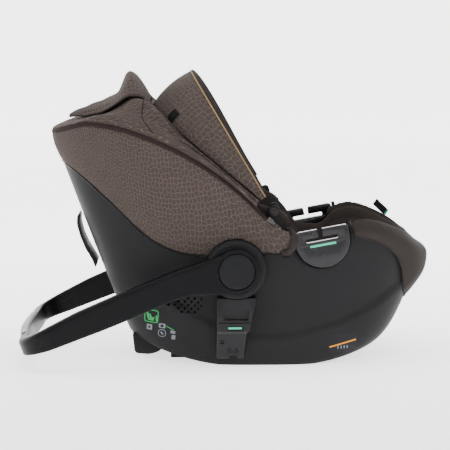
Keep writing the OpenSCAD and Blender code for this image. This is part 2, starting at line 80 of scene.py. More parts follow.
def add_node(tree, kind, settings=None, links=None, **attributes):
    """Adds a node with its socket values, its links from other nodes' outputs, and its attributes."""
    node = tree.nodes.new(kind)
    for name, value in attributes.items():
        setattr(node, name, value)
    for name, value in (settings or {}).items():
        node.inputs[name].default_value = value
    for name, output in (links or {}).items():
        tree.links.new(output, node.inputs[name])
    return node


def new_material(name):
    """A material with only its Principled shader and output."""
    material = bpy.data.materials.new(name)
    material.use_nodes = True
    tree = material.node_tree
    tree.nodes.clear()
    shader = add_node(tree, "ShaderNodeBsdfPrincipled")
    add_node(tree, "ShaderNodeOutputMaterial", links={"Surface": shader.outputs[0]})
    return material, tree, shader


paper, paper_tree, paper_shader = new_material("seamless_paper")
paper_shader.inputs["Roughness"].default_value = 0.9
paper_shader.inputs["Emission Color"].default_value = linear("#ffffff")
paper_place = add_node(paper_tree, "ShaderNodeSeparateXYZ",
                       links={"Vector": add_node(paper_tree, "ShaderNodeTexCoord").outputs["Object"]})
# Painted light: the paper glows by itself, from 0.15 in front of the seat to 2.6 behind it.
paper_painted_glow = add_node(paper_tree, "ShaderNodeMapRange",
                      {"From Min": -2.5, "From Max": 1.5, "To Min": 0.15, "To Max": 2.6},
                      {"Value": paper_place.outputs["Y"]})
paper_tree.links.new(paper_painted_glow.outputs["Result"], paper_shader.inputs["Emission Strength"])
paper_fleck = add_node(paper_tree, "ShaderNodeTexNoise", {"Scale": 60.0})
paper_ramp = add_node(paper_tree, "ShaderNodeValToRGB", links={"Fac": paper_fleck.outputs["Fac"]})
paper_ramp.color_ramp.elements[0].color = linear("#f6f6f6")
paper_ramp.color_ramp.elements[1].color = linear("#f8f8f8")
paper_tree.links.new(paper_ramp.outputs["Color"], paper_shader.inputs["Base Color"])
floor_turns = 96
cove = [(6.5 + 3 * math.sin(a), 3 - 3 * math.cos(a)) for a in np.linspace(0.1, math.pi / 2, 14)]
sweep = [(0, 0), (0.6, 0), (2, 0), (5, 0), (6.5, 0)] + cove + [(9.5, 5.5)]
points = [(r * math.cos(a), r * math.sin(a), z - 0.0005) for r, z in sweep
          for a in np.linspace(0, 2 * math.pi, floor_turns, endpoint=False)]
faces = [(i * floor_turns + j, i * floor_turns + (j + 1) % floor_turns,
          (i + 1) * floor_turns + (j + 1) % floor_turns, (i + 1) * floor_turns + j)
         for i in range(len(sweep) - 1) for j in range(floor_turns)]
paper_mesh = bpy.data.meshes.new("studio_floor")
paper_mesh.from_pydata(points, [], faces)
paper_mesh.polygons.foreach_set("use_smooth", [True] * len(faces))
paper_mesh.materials.append(paper)
floor = bpy.data.objects.new("studio_floor", paper_mesh)
bpy.context.scene.collection.objects.link(floor)

world = bpy.data.worlds.new("white_room")
world.use_nodes = True
world.node_tree.nodes["Background"].inputs["Color"].default_value = linear("#ffffff")
world.node_tree.nodes["Background"].inputs["Strength"].default_value = 0.45
bpy.context.scene.world = world


def softbox(name, place, aim, size, power):
    """A rectangular area light that faces a point."""
    data = bpy.data.lights.new(name, "AREA")
    data.shape = "RECTANGLE"
    data.size, data.size_y = size
    data.energy = power
    light = bpy.data.objects.new(name, data)
    light.location = place
    light.rotation_euler = (Vector(aim) - Vector(place)).to_track_quat("-Z", "Y").to_euler()
    bpy.context.scene.collection.objects.link(light)


softbox("overhead_softbox", (0, -0.3, 2.6), (0, 0, 0.2), (3.2, 2.2), 76)
softbox("front_softbox", (0.6, -3.2, 2.0), (0, 0, 0.25), (2.2, 1.4), 30)
softbox("left_softbox", (-2.6, -2.0, 2.3), (0, 0, 0.3), (1.6, 1.4), 26)
softbox("rear_softbox", (1.8, 2.4, 1.9), (0, 0, 0.3), (1.6, 1.4), 14)

# ---- Bucket shell -------------------------------------------------------------------------
# One moulded polypropylene tub, 3.5 mm thick, on a rocker base. A swoosh line divides the upper
# side panel, which is set in, from the rocker band below it. The mould face has a fine grain.
MM = 0.001
shell_wall = 3.5
hub_x, hub_z = 20, 176
both_sides = ((-1, "right"), (1, "left"))
rim_height = ((-300, 386), (-285, 397), (-240, 410), (-200, 409), (-165, 400), (-125, 385), (-80, 364),
              (-40, 340), (0, 312), (30, 288), (60, 262), (90, 242), (120, 236), (215, 240), (240, 246),
              (265, 243), (290, 234), (315, 222), (335, 208), (355, 190))
swoosh_height = ((-130, 138), (-115, 126), (-82, 103), (-48, 81), (-19, 67), (41, 45), (97, 46), (152, 56),
                 (208, 72), (259, 94), (294, 118), (325, 139))


def lookup(x, table):
    """Height of a line given as points, by straight interpolation."""
    return float(np.interp(x, [p[0] for p in table], [p[1] for p in table]))


def eased(x, table, reach=10):
    """The same, rounded over a short reach."""
    return (lookup(x - reach, table) + 2 * lookup(x, table) + lookup(x + reach, table)) / 4


def smooth(x):
    """Smooth step from 0 to 1."""
    x = min(max(x, 0.0), 1.0)
    return x * x * (3 - 2 * x)


def mix(a, b, k):
    """Value at a share k of the way from a to b."""
    return a + (b - a) * k


def rocker(x):
    """Underside of the base: flat in the middle, then a 420 mm radius."""
    past = max(40 - x, x - 110, 0)
    return past * past / 840


def oval(w, middle, front, rear, half, n):
    """Point of an egg-shaped plan curve at polar angle w in degrees."""
    c, s = math.cos(math.radians(w)), math.sin(math.radians(w))
    r = ((abs(c) / (front if c >= 0 else rear)) ** n + (abs(s) / half) ** n) ** (-1 / n)
    return middle + r * c, r * s


def folded(w):
    """Polar angle counted the same way on both sides, 0 at the foot end and 180 at the head end."""
    return 360 - abs(w) if abs(w) > 180 else abs(w)


def shell_point(w, v, inset=0.0):
    """Point of the shell's wall: w turns round the plan, v climbs from the base to the rim."""
    bx, by = oval(w, 50, 215 - inset, 218 - inset, 138 - inset, 2.8)
    rx, ry = oval(w, 10, 344 - inset, 308 - inset, 188 - inset, 3)
    k = max(v, 0) ** lookup(folded(w), ((0, 0.5), (40, 0.55), (90, 0.6), (140, 0.8), (180, 1)))
    return np.array([mix(bx, rx, k), mix(by, ry, k), mix(rocker(bx) + inset, eased(rx, rim_height), v)])


def panel_inset(p):
    """How far the side panel is set in above the swoosh line."""
    over = p[2] - eased(p[0], swoosh_height, 14)
    fade = smooth((p[0] + 150) / 60) * smooth((345 - p[0]) / 40)
    return 5.0 * fade * smooth(over / 9) * (1 - smooth((over - 25) / 110))


def mesh_object(name, points, faces, material=None):
    """A smooth-shaded object from points in millimetres."""
    mesh = bpy.data.meshes.new(name)
    mesh.from_pydata([tuple(float(c) * MM for c in p) for p in points], [], faces)
    mesh.update()
    mesh.polygons.foreach_set("use_smooth", [True] * len(mesh.polygons))
    piece = bpy.data.objects.new(name, mesh)
    bpy.context.scene.collection.objects.link(piece)
    if material:
        mesh.materials.append(material)
    return piece


def grid_object(name, rows, material=None, ring=False, tube=False, uv=None):
    """A quad sheet through rows of points. ring joins the last row to the first, tube joins each
    row's ends, and uv gives each point's place in the pattern."""
    rows = np.asarray(rows, float)
    n, m = rows.shape[:2]
    faces = []
    for i in range(n if ring else n - 1):
        for j in range(m if tube else m - 1):
            a, b, k = i * m, ((i + 1) % n) * m, (j + 1) % m
            faces.append((a + j, b + j, b + k, a + k))
    piece = mesh_object(name, rows.reshape(-1, 3), faces, material)
    if uv is not None:
        layer = piece.data.uv_layers.new(name="pattern")
        flat = np.asarray(uv, float).reshape(-1, 2)
        index = np.zeros(len(piece.data.loops), np.int64)
        piece.data.loops.foreach_get("vertex_index", index)
        layer.data.foreach_set("uv", flat[index].ravel())
    return piece


def apply_modifier(piece, kind, **settings):
    """Adds a modifier and applies it at once."""
    modifier = piece.modifiers.new(kind.lower(), kind)
    for name, value in settings.items():
        setattr(modifier, name, value)
    bpy.context.view_layer.objects.active = piece
    bpy.ops.object.modifier_apply(modifier=modifier.name)


def thicken(piece, wall, offset=-1.0):
    """Gives a sheet its thickness in mm, inwards by default."""
    apply_modifier(piece, "SOLIDIFY", thickness=wall * MM, offset=offset)


def sharpen(piece, degrees=32):
    """Marks the edges that a mould leaves crisp."""
    mesh = bmesh.new()
    mesh.from_mesh(piece.data)
    for edge in mesh.edges:
        edge.smooth = edge.calc_face_angle(0) < math.radians(degrees)
    for face in mesh.faces:
        face.smooth = True
    mesh.to_mesh(piece.data)
    mesh.free()


def side_cylinder(name, x, z, radius, near, far, sides=96):
    """A plug along Y between two distances from the middle, which are negative on the right."""
    bpy.ops.mesh.primitive_cylinder_add(vertices=sides, radius=radius * MM, depth=abs(far - near) * MM,
                                        location=(x * MM, (near + far) / 2 * MM, z * MM),
                                        rotation=(math.pi / 2, 0, 0))
    bpy.context.object.name = name
    return bpy.context.object


def cut(piece, tools):
    """Cuts tools out of a piece and removes them."""
    for tool in tools:
        apply_modifier(piece, "BOOLEAN", operation="DIFFERENCE", solver="EXACT", object=tool)
        bpy.data.objects.remove(tool)


def plastic(name, colour, roughness, grain_mm, grain_depth=0.02, wear=0.05, coat=0.0, shine=0.1):
    """Moulded plastic: an even colour, the mould's fine grain, and faint handling marks in the gloss."""
    material, tree, shader = new_material(name)
    shader.inputs["IOR"].default_value = 1.49
    shader.inputs["Coat Weight"].default_value = coat
    shader.inputs["Specular IOR Level"].default_value = shine
    place = add_node(tree, "ShaderNodeTexCoord").outputs["Object"]
    grain = add_node(tree, "ShaderNodeTexVoronoi", {"Scale": 1 / (grain_mm * MM)}, {"Vector": place})
    cloud = add_node(tree, "ShaderNodeTexNoise", {"Scale": 14.0, "Detail": 4.0}, {"Vector": place})
    tone = add_node(tree, "ShaderNodeValToRGB", links={"Fac": cloud.outputs["Fac"]})
    tone.color_ramp.elements[0].position = 0.3
    tone.color_ramp.elements[1].position = 0.75
    tone.color_ramp.elements[0].color = linear(colour)
    tone.color_ramp.elements[1].color = tuple(c * 1.12 for c in linear(colour)[:3]) + (1,)
    gloss = add_node(tree, "ShaderNodeMapRange",
                     {"From Min": 0.3, "From Max": 0.7, "To Min": roughness - wear,
                      "To Max": roughness + wear}, {"Value": cloud.outputs["Fac"]})
    bump = add_node(tree, "ShaderNodeBump", {"Strength": 0.5, "Distance": grain_depth * MM},
                    {"Height": grain.outputs["Distance"]})
    tree.links.new(tone.outputs["Color"], shader.inputs["Base Color"])
    tree.links.new(gloss.outputs["Result"], shader.inputs["Roughness"])
    tree.links.new(bump.outputs["Normal"], shader.inputs["Normal"])
    return material


# The grain is really 0.3 mm across; it is drawn at 0.9 mm so that it shows.
moulded_polypropylene = plastic("moulded_polypropylene", "#1f1f20", 0.46, 0.9, 0.035, shine=0.04)

shell_rows = []
for w in np.arange(0, 360, 1.25):
    row = []
    for s in (0.02, 0.2, 0.45, 0.7, 0.88):
        x, y = oval(w, 50, 215 * s, 218 * s, 138 * s, 2.8)
        row.append(np.array([x, y, rocker(x)]))
    for v in np.linspace(0, 1, 66) ** 1.35:
        outer = shell_point(w, v)
        row.append(shell_point(w, v, panel_inset(outer)) if v > 0 else outer)
    shell_rows.append(row)
shell = grid_object("shell_tub", shell_rows, moulded_polypropylene, ring=True)
shell.data.flip_normals()
thicken(shell, shell_wall)


def corners(x0, z0, x1, z1):
    """Outline of a plain rectangle in X and Z."""
    return [(x0, z0), (x1, z0), (x1, z1), (x0, z1)]


def prism(name, outline, near, far, material=None, bevel=0.0, segments=3):
    """An outline in X and Z made solid along Y, with its long edges rounded."""
    n = len(outline)
    points = [(x, near, z) for x, z in outline] + [(x, far, z) for x, z in outline]
    faces = [tuple(range(n)), tuple(range(2 * n - 1, n - 1, -1))]
    faces += [((i + 1) % n, i, n + i, n + (i + 1) % n) for i in range(n)]
    piece = mesh_object(name, points, faces, material)
    tidy_normals(piece)
    if bevel:
        apply_modifier(piece, "BEVEL", width=bevel * MM, segments=segments, angle_limit=math.radians(30))
        sharpen(piece, 50)
    return piece


def tidy_normals(piece):
    """Turns all faces outwards."""
    mesh = bmesh.new()
    mesh.from_mesh(piece.data)
    bmesh.ops.recalc_face_normals(mesh, faces=mesh.faces)
    mesh.to_mesh(piece.data)
    mesh.free()


def mirrored(piece, name):
    """A copy on the child's left of a piece on the right."""
    twin = piece.copy()
    twin.data = piece.data.copy()
    twin.name = name
    bpy.context.scene.collection.objects.link(twin)
    twin.data.transform(Matrix.Diagonal((1, -1, 1, 1)))
    twin.data.flip_normals()
    return twin


def settle(piece, body, slot, *nodes):
    """Puts a finished piece on its body and hides the frame nodes it stands for. slot is not used."""
    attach(piece, body)
    if nodes:
        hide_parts(*nodes)


def settle_pair(piece, kind, slot, framed=True):
    """Settles a piece of the right side and its mirror image on the seat. framed says that they stand
    for a frame node on each side."""
    for part, (_, word) in zip((piece, mirrored(piece, kind + "_left")), both_sides):
        settle(part, "seat", slot)
        if framed:
            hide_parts(kind + "_" + word)


def rounded(points, radius, steps=5):
    """A closed outline with its corners rounded."""
    out = []
    n = len(points)
    for i in range(n):
        p, a, b = (np.array(points[k % n], float) for k in (i, i - 1, i + 1))
        da, db = a - p, b - p
        la, lb = np.linalg.norm(da), np.linalg.norm(db)
        r = min(radius, la * 0.45, lb * 0.45)
        start, end = p + da / la * r, p + db / lb * r
        for k in np.linspace(0, 1, steps + 1):
            out.append(tuple((1 - k) ** 2 * start + 2 * k * (1 - k) * p + k * k * end))
    return out


def lathe(name, x, z, profile, material=None, sides=96):
    """Turns a profile of (radius, distance along Y) round an axis along Y."""
    rows = [[(x + r * math.cos(a), y, z + r * math.sin(a)) for r, y in profile]
            for a in np.linspace(0, 2 * math.pi, sides, endpoint=False)]
    piece = grid_object(name, rows, material, ring=True)
    apply_modifier(piece, "WELD", merge_threshold=0.00002)
    tidy_normals(piece)
    sharpen(piece, 40)
    return piece


def close_ends(piece):
    """Fills the open ends of a tube-like mesh."""
    mesh = bmesh.new()
    mesh.from_mesh(piece.data)
    bmesh.ops.holes_fill(mesh, edges=mesh.edges)
    mesh.to_mesh(piece.data)
    mesh.free()
    tidy_normals(piece)


def tube(name, path, radius, material=None, sides=10):
    """A round bead along a path. radius is one number or one for each point."""
    path = np.asarray(path, float)
    n = len(path)
    radii = np.full(n, radius, float) if np.isscalar(radius) else np.asarray(radius, float)
    ahead = np.roll(path, -1, 0) - np.roll(path, 1, 0)
    ahead[0], ahead[-1] = path[1] - path[0], path[-1] - path[-2]
    ahead /= np.linalg.norm(ahead, axis=1)[:, None]
    side = np.cross(ahead[0], (0.2, 0.3, 1))
    rows = []
    for i in range(n):
        side = side - ahead[i] * side.dot(ahead[i])
        side /= np.linalg.norm(side)
        up = np.cross(ahead[i], side)
        rows.append([path[i] + radii[i] * (math.cos(a) * side + math.sin(a) * up)
                     for a in np.linspace(0, 2 * math.pi, sides, endpoint=False)])
    piece = grid_object(name, rows, material, tube=True)
    close_ends(piece)
    return piece


def guide_place(u, v):
    """Point in X and Z of the belt guide's own axes, which lean 10.5 degrees."""
    c, s = math.cos(math.radians(10.5)), math.sin(math.radians(10.5))
    return 165 + u * c - v * s, 247 + u * s + v * c


def guide_outline(grow, top=0.0):
    """The guide's D shape, grown by some mm, up to a height over its top edge."""
    r = 48 + grow
    arc = [(r * math.cos(a), -20 + r * math.sin(a)) for a in np.linspace(math.pi, 2 * math.pi, 40)]
    return [guide_place(u, v) for u, v in [(-r, top)] + arc + [(r, top)]]


def wall(x, z, lift=0.0, side=-1):
    """Point on the outside of the shell's side wall, lifted off it by some mm."""
    found, spot, normal, _ = shell.ray_cast(Vector((x * MM, side * 0.4, z * MM)), Vector((0, -side, 0)))
    spot = Vector((x, side * 170, z)) if not found else spot / MM
    return np.array(spot + normal * lift if found else spot)


vent_backs = {side: [[wall(x, z, -4.6, side) for z in np.linspace(93, 127, 9)]
                     for x in np.linspace(-116, -34, 18)] for side in (-1, 1)}

# Openings: the two belt guides, the handle hubs, the coupler under the base, the release lever at
# the back, and the slanted rows of vent holes under the handle.
cutters = []
for side in (-1, 1):
    near, far = sorted((side * 172, side * 205))
    cutters.append(prism("guide_tool", guide_outline(0.5, 42), near, far))
    cutters.append(side_cylinder("hub_tool", hub_x, hub_z, 52.4, side * 140, side * 200))
lean_back = Matrix.Translation((-0.268, 0, 0.313)) @ Matrix.Rotation(math.radians(-24), 4, "Y")
coupler_tool = prism("coupler_tool", corners(-95.4, -5, 115.4, 40), -70.4, 70.4)
back_tool = prism("release_tool", corners(-33, -23.4, 20, 23.4), -50.4, 50.4)
back_tool.data.transform(lean_back)
cutters += [coupler_tool, back_tool]
points, faces = [], []
for row, (first, count) in enumerate(((-110, 7), (-104.2, 6), (-98.4, 6), (-81, 4), (-75.2, 3))):
    for k in range(count):
        x, z = first + 11.6 * k, 122.5 - 6.4 * row - 0.35 * k
        r = 3.5 - 0.022 * (x + 110)
        for near, far in ((-180, -120), (120, 180)):
            start = len(points)
            points += [(x + r * math.cos(a), y, z + r * math.sin(a)) for y in (near, far)
                       for a in np.linspace(0, 2 * math.pi, 16, endpoint=False)]
            faces += [tuple(range(start, start + 16)), tuple(range(start + 31, start + 15, -1))]
            faces += [(start + (a + 1) % 16, start + a, start + 16 + a, start + 16 + (a + 1) % 16)
                      for a in range(16)]
vents = mesh_object("vent_tool", points, faces)
tidy_normals(vents)
cutters.insert(0, vents)
cut(shell, cutters)
sharpen(shell, 38)
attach(shell, "seat")
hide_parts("shell")


def wall_patch(name, outline, material, lift=0.35, side=-1):
    """A printed shape that follows the shell's side wall. Its outline is convex."""
    outline = [np.array(p) + (np.array(q) - p) * k for p, q in zip(outline, outline[1:] + outline[:1])
               for k in np.linspace(0, 1, 1 + math.ceil(math.dist(p, q) / 4), endpoint=False)]
    middle = np.mean(outline, axis=0)
    points = [wall(*middle, lift, side)]
    for scale in (0.3, 0.65, 1):
        points += [wall(*(middle + (np.array(p) - middle) * scale), lift, side) for p in outline]
    n = len(outline)
    faces = [(0, 1 + i, 1 + (i + 1) % n) for i in range(n)]
    faces += [(1 + k * n + i, 1 + (k + 1) * n + i, 1 + (k + 1) * n + (i + 1) % n, 1 + k * n + (i + 1) % n)
              for k in (0, 1) for i in range(n)]
    return mesh_object(name, points, faces, material)


# ---- Vent screens -------------------------------------------------------------------------
# A matte black screen behind each group of vent holes, clipped inside the shell wall.
screen_black = plastic("screen_black", "#0b0b0c", 0.7, 0.6)
for side, word in both_sides:
    screen = grid_object("vent_screen_" + word, vent_backs[side], screen_black)
    thicken(screen, 1.2, 0)
    settle(screen, "seat", "trim_plastic", "vent_grille_" + word)

# ---- Base: rear foot, coupler and bars ----------------------------------------------------
# A moulded foot under the head end, a recessed coupler in the middle of the rocker, and two 8 mm
# bright steel bars that a car base hooks onto. The bars keep the frame's own round shape.
trim_plastic = plastic("trim_plastic", "#0f0f11", 0.4, 0.8, 0.03)
foot_outline = [(-164, 48), (-160, 14), (-156, 10), (-134, 8), (-118, 12), (-106, 22), (-130, 33.5),
                (-150, 42)]
rear_foot = prism("rear_foot", rounded(foot_outline, 6), -80, 80, moulded_polypropylene, 3.0, 4)
settle(rear_foot, "seat", "shell_plastic", "rear_foot")
coupler = prism("base_coupler", corners(-95, 0, 115, 24), -70, 70, trim_plastic, 1.6)
tools = [prism("bar_tool", corners(x - 12, -1, x + 12, 19), -50, 50) for x in (-70, 90)]
tools.append(prism("well_tool", corners(-50, 4, 68, 30), -62, 62))
tools += [prism("rib_tool", corners(x, -1, x + 9, 2), -44, 44) for x in range(-38, 50, 20)]
cut(coupler, tools)
sharpen(coupler, 40)
settle(coupler, "seat", "trim_plastic", "base_coupler")


def dress(material, *nodes):
    """Gives frame nodes that are shown as they are their material."""
    for node in nodes:
        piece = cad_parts[node]
        piece.data.materials.clear()
        piece.data.materials.append(material)


def bright_steel(name, colour, roughness):
    """Drawn steel: metal with fine lengthwise scratches in its gloss."""
    material, tree, shader = new_material(name)
    shader.inputs["Metallic"].default_value = 1.0
    place = add_node(tree, "ShaderNodeTexCoord").outputs["Object"]
    drawn = add_node(tree, "ShaderNodeMapping", {"Scale": (900, 60, 900)}, {"Vector": place})
    scratch = add_node(tree, "ShaderNodeTexNoise", {"Scale": 1.0, "Detail": 2.0},
                       {"Vector": drawn.outputs["Vector"]})
    gloss = add_node(tree, "ShaderNodeMapRange", {"To Min": roughness - 0.08, "To Max": roughness + 0.1},
                     {"Value": scratch.outputs["Fac"]})
    tone = add_node(tree, "ShaderNodeValToRGB", links={"Fac": scratch.outputs["Fac"]})
    tone.color_ramp.elements[0].color = linear(colour)
    tone.color_ramp.elements[1].color = tuple(min(c * 1.2, 1) for c in linear(colour)[:3]) + (1,)
    tree.links.new(tone.outputs["Color"], shader.inputs["Base Color"])
    tree.links.new(gloss.outputs["Result"], shader.inputs["Roughness"])
    return material


zinc_steel = bright_steel("zinc_steel", "#b4b6b8", 0.32)
dress(zinc_steel, "base_bar_front", "base_bar_rear", "pivot_axle_right", "pivot_axle_left")

# ---- Rear belt hook and release lever -----------------------------------------------------
# A curved blade behind the backrest that holds the vehicle's belt, and the grey pull lever in its
# pocket that frees the seat from a stroller.
blade = [(-231, 160), (-236, 174), (-249, 196), (-258, 218), (-264, 240), (-263.5, 254), (-261, 257.5),
         (-258.6, 254), (-259, 241), (-254, 220), (-245, 199), (-232, 178), (-227, 169)]
hook = prism("rear_belt_hook", rounded(blade, 3, 3), -42, 42, moulded_polypropylene, 1.2)
settle(hook, "seat", "shell_plastic", "rear_belt_hook")
pocket = prism("release_pocket", rounded(corners(-2, -23, 32, 23), 3), -50, 50, trim_plastic, 1)
cut(pocket, [prism("pocket_tool", rounded(corners(-20, -20, 29, 20), 3), -47, 47)])
pocket.data.transform(lean_back)
sharpen(pocket, 40)
settle(pocket, "seat", "trim_plastic", "release_pocket")
lever_grey = plastic("lever_grey", "#232427", 0.36, 0.8, 0.03)
lever = prism("release_lever", rounded(corners(0, -19, 14, 13), 3), -46, 46, lever_grey, 1.5)
cut(lever, [prism("grip_tool", rounded(corners(-3, -10, 12, 6), 3), -39, 39)])
lever.data.transform(lean_back)
sharpen(lever, 40)
settle(lever, "release_lever", "soft_touch", "release_lever")

# ---- Printed labels -----------------------------------------------------------------------
# Thin printed signs on the rocker: a green seat sign with small grey icons at the head end, and a
# clear square with an orange level line at the foot end. They carry no lettering.
label_green = plastic("label_green", "#2c8a4c", 0.5, 0.5, 0.005)
label_grey = plastic("label_grey", "#66686d", 0.5, 0.5, 0.005)
label_black = plastic("label_black", "#111113", 0.3, 0.5, 0.005)
label_orange = plastic("label_orange", "#c07f1c", 0.5, 0.5, 0.005)
label_shade = plastic("label_shade", "#19191c", 0.3, 0.5, 0.005)


def box_outline(x0, z0, x1, z1, r=2.0, lean=0.0):
    """A rounded rectangle from corner to corner, leaning by some degrees."""
    cx, cz = (x0 + x1) / 2, (z0 + z1) / 2
    c, s = math.cos(math.radians(lean)), math.sin(math.radians(lean))
    raw = rounded(corners(x0 - cx, z0 - cz, x1 - cx, z1 - cz), r, 4)
    return [(cx + u * c - v * s, cz + u * s + v * c) for u, v in raw]


signs = [("sign_frame", box_outline(-141, 74, -116, 98, 5, -4), label_green, 0.3),
         ("sign_field", box_outline(-139.3, 75.7, -117.7, 96.3, 4, -4), label_black, 0.5),
         ("sign_back", box_outline(-136, 80, -132.6, 94, 1.5, 12), label_green, 0.7),
         ("sign_seat", box_outline(-134, 78, -124, 81.4, 1.5, -6), label_green, 0.7),
         ("sign_child", box_outline(-131.5, 82, -128.5, 90.5, 1.4, 18), label_green, 0.7),
         ("sign_legs", box_outline(-129, 81.5, -122.8, 84.2, 1.3, 4), label_green, 0.7),
         ("sign_bar", box_outline(-120.7, 77, -118.6, 88, 1, 0), label_green, 0.7),
         ("icon_round", box_outline(-152, 81, -142, 92, 5.2), label_shade, 0.3),
         ("icon_code", box_outline(-137, 60, -127.5, 70.5, 0.6, -4), label_grey, 0.3),
         ("icon_code_gap", box_outline(-134.2, 63, -130.6, 67.4, 0.4, -4), label_black, 0.5),
         ("icon_seat", box_outline(-115.5, 65, -103.6, 73.6, 2.2, -4), label_grey, 0.3),
         ("icon_seat_hole", box_outline(-112.5, 66.8, -107, 71.4, 1.4, -4), label_black, 0.5),
         ("icon_disc", box_outline(-117, 48.5, -103, 62.5, 6.8), label_grey, 0.3),
         ("icon_disc_field", box_outline(-115.8, 49.7, -104.2, 61.3, 5.6), label_black, 0.5),
         ("icon_disc_mark", box_outline(-113, 54.2, -107, 57, 0.8, -48), label_grey, 0.7),
         ("icon_line", box_outline(-103, 64.9, -88, 66.4, 0.6, -28), label_green, 0.4),
         ("icon_pad", box_outline(-95, 56, -86.5, 61, 1.2, -10), label_grey, 0.3),
         ("icon_pad_low", box_outline(-93, 45, -86.5, 53, 1.2, -6), label_grey, 0.3)]
for name, outline, material, lift in signs:
    finish = "green_mark" if material is label_green else "trim_plastic"
    settle(wall_patch(name, outline, material, lift), "seat", finish)
level_field = wall_patch("level_field", box_outline(184, 20, 235, 55, 1), label_shade, 0.3)
settle(level_field, "seat", "trim_plastic")
level_line = wall_patch("level_line", box_outline(185, 35.8, 234.5, 38.6, 0.8, 13), label_orange, 0.6)
settle(level_line, "seat", "trim_plastic")
for x in (200, 206, 211.5, 217):
    mark = wall_patch("level_mark", box_outline(x, 27, x + 2.2, 33, 0.8), label_grey, 0.5)
    settle(mark, "seat", "trim_plastic")

# ---- Handle hubs --------------------------------------------------------------------------
# Black housing rings sunk in the shell's sides round the handle's axles. A soft outer edge and a
# shallow step lead in to the handle's own round end.
hub_profile = [(12.1, -174), (12.1, -198.6), (39, -198.8), (43, -199.3), (46, -199.2), (48.6, -198.4),
               (50.6, -196.8), (51.7, -194.6), (52, -192), (52, -164), (48, -164), (48, -190), (18, -190),
               (18, -174), (12.1, -174)]
for side, word in both_sides:
    profile = [(r, -side * y) for r, y in hub_profile]
    hub = lathe("hub_housing_" + word, hub_x, hub_z, profile, moulded_polypropylene)
    settle(hub, "seat", "shell_plastic", "hub_housing_" + word)

# ---- Carry handle -------------------------------------------------------------------------
# One satin black moulding: two 21 mm wide arms that grow into the round hubs, and a crossbar with
# rounded corners that bows out 7 mm in the middle. The upper outer edge has the wider rounding.
handle_satin = plastic("handle_satin", "#08080a", 0.38, 1.0, 0.03, 0.04)
handle_lean = math.radians(20.1)
arm_top = ((-6, 39), (30, 35.5), (95, 38), (162, 36), (220, 33), (285, 29), (345, 21), (400, 15), (409, 15))
arm_low = ((-6, -39), (10, -37.5), (30, -31), (60, -20), (88, -11), (130, -9), (200, -13.5), (245, -15.5),
           (285, -16), (350, -17), (400, -15), (409, -15))


def handle_place(s, y, h):
    """Point of the handle from its distance along the arm, across the seat and over the arm's line."""
    c, d = math.cos(handle_lean), math.sin(handle_lean)
    return hub_x - s * c - h * d, y, hub_z - s * d + h * c


def handle_ring(s, y, inward, across, reach):
    """The handle's section: across is its width, inward the way from its outer face to its inner one."""
    if reach < 0:
        top = math.sqrt(max(39 ** 2 - reach ** 2, 0.01))
        low = -top
    else:
        top, low = eased(reach, arm_top, 8), eased(reach, arm_low, 8)
    steps = (0, 0.012, 0.04, 0.08, 0.13, 0.19, 0.27, 0.4, 0.55, 0.7, 0.78, 0.84, 0.89, 0.93, 0.965, 0.99, 1)
    ring = []
    for face in (0, 1):
        for k in steps if face == 0 else reversed(steps):
            h = mix(low, top, k)
            edge = min(h - low, top - h) if reach >= 0 else 39 - math.hypot(reach, h)
            upper = smooth((reach - 20) / 60) if k > 0.5 and face == 0 else 0
            r = 2.6 + 6.0 * upper
            drop = r - math.sqrt(max(r * r - max(r - edge, 0) ** 2, 0))
            a = drop if face == 0 else across - drop
            ring.append(handle_place(s + inward[0] * a, y + inward[1] * a, h))
    return ring


arm_end, corner_radius, arm_width, bar_width, bar_reach = 340, 62, 21, 18, 402
rings = []
round_end = [-39 + 39 * (1 - math.cos(k)) for k in np.linspace(0, math.pi / 2, 16)]
for s in round_end + list(np.arange(4, arm_end, 6.0)):
    rings.append(handle_ring(s, -222, (0, 1), arm_width, s))
for a in np.linspace(0, 90, 16):
    c, d = math.cos(math.radians(a)), math.sin(math.radians(a))
    s, across = arm_end + corner_radius * d, mix(arm_width, bar_width, a / 90)
    rings.append(handle_ring(s, -160 - corner_radius * c, (-d, c), across, s))
for y in np.linspace(-152, 0, 18):
    bow = bar_reach + 3.5 * (1 + math.cos(math.pi * y / 160))
    rings.append(handle_ring(bow, y, (-1, 0), bar_width, bow))
half = len(rings)
for ring in reversed(rings[:half - 1]):
    rings.append([(x, -y, z) for x, y, z in ring])
handle = grid_object("handle_frame", rings, handle_satin, tube=True)
close_ends(handle)
tools = []
for side in (-1, 1):
    tools.append(side_cylinder("button_tool", hub_x, hub_z, 32.4, side * 206.5, side * 224, 128))
    tools.append(side_cylinder("axle_tool", hub_x, hub_z, 12.1, side * 196, side * 208, 64))
cut(handle, tools)
sharpen(handle, 42)
settle(handle, "handle", "soft_touch", "handle_frame")

# ---- Handle buttons -----------------------------------------------------------------------
# A 64 mm disc in each hub frees the handle when both are pressed. Its face is slightly domed and
# its rim is rounded, with a thin dark gap round it.
button_grey = plastic("button_grey", "#151518", 0.42, 0.9, 0.03, 0.04)
button_profile = [(0.01, -221.9), (12, -221.8), (24, -221.4), (29.5, -220.9), (31, -220.4), (31.8, -219.4),
                  (32, -218), (32, -216), (0.01, -216)]
for side, word in both_sides:
    profile = [(r, -side * y) for r, y in button_profile]
    button = lathe("handle_button_" + word, hub_x, hub_z, profile, button_grey, 128)
    settle(button, "button_" + word, "soft_touch", "handle_button_" + word)

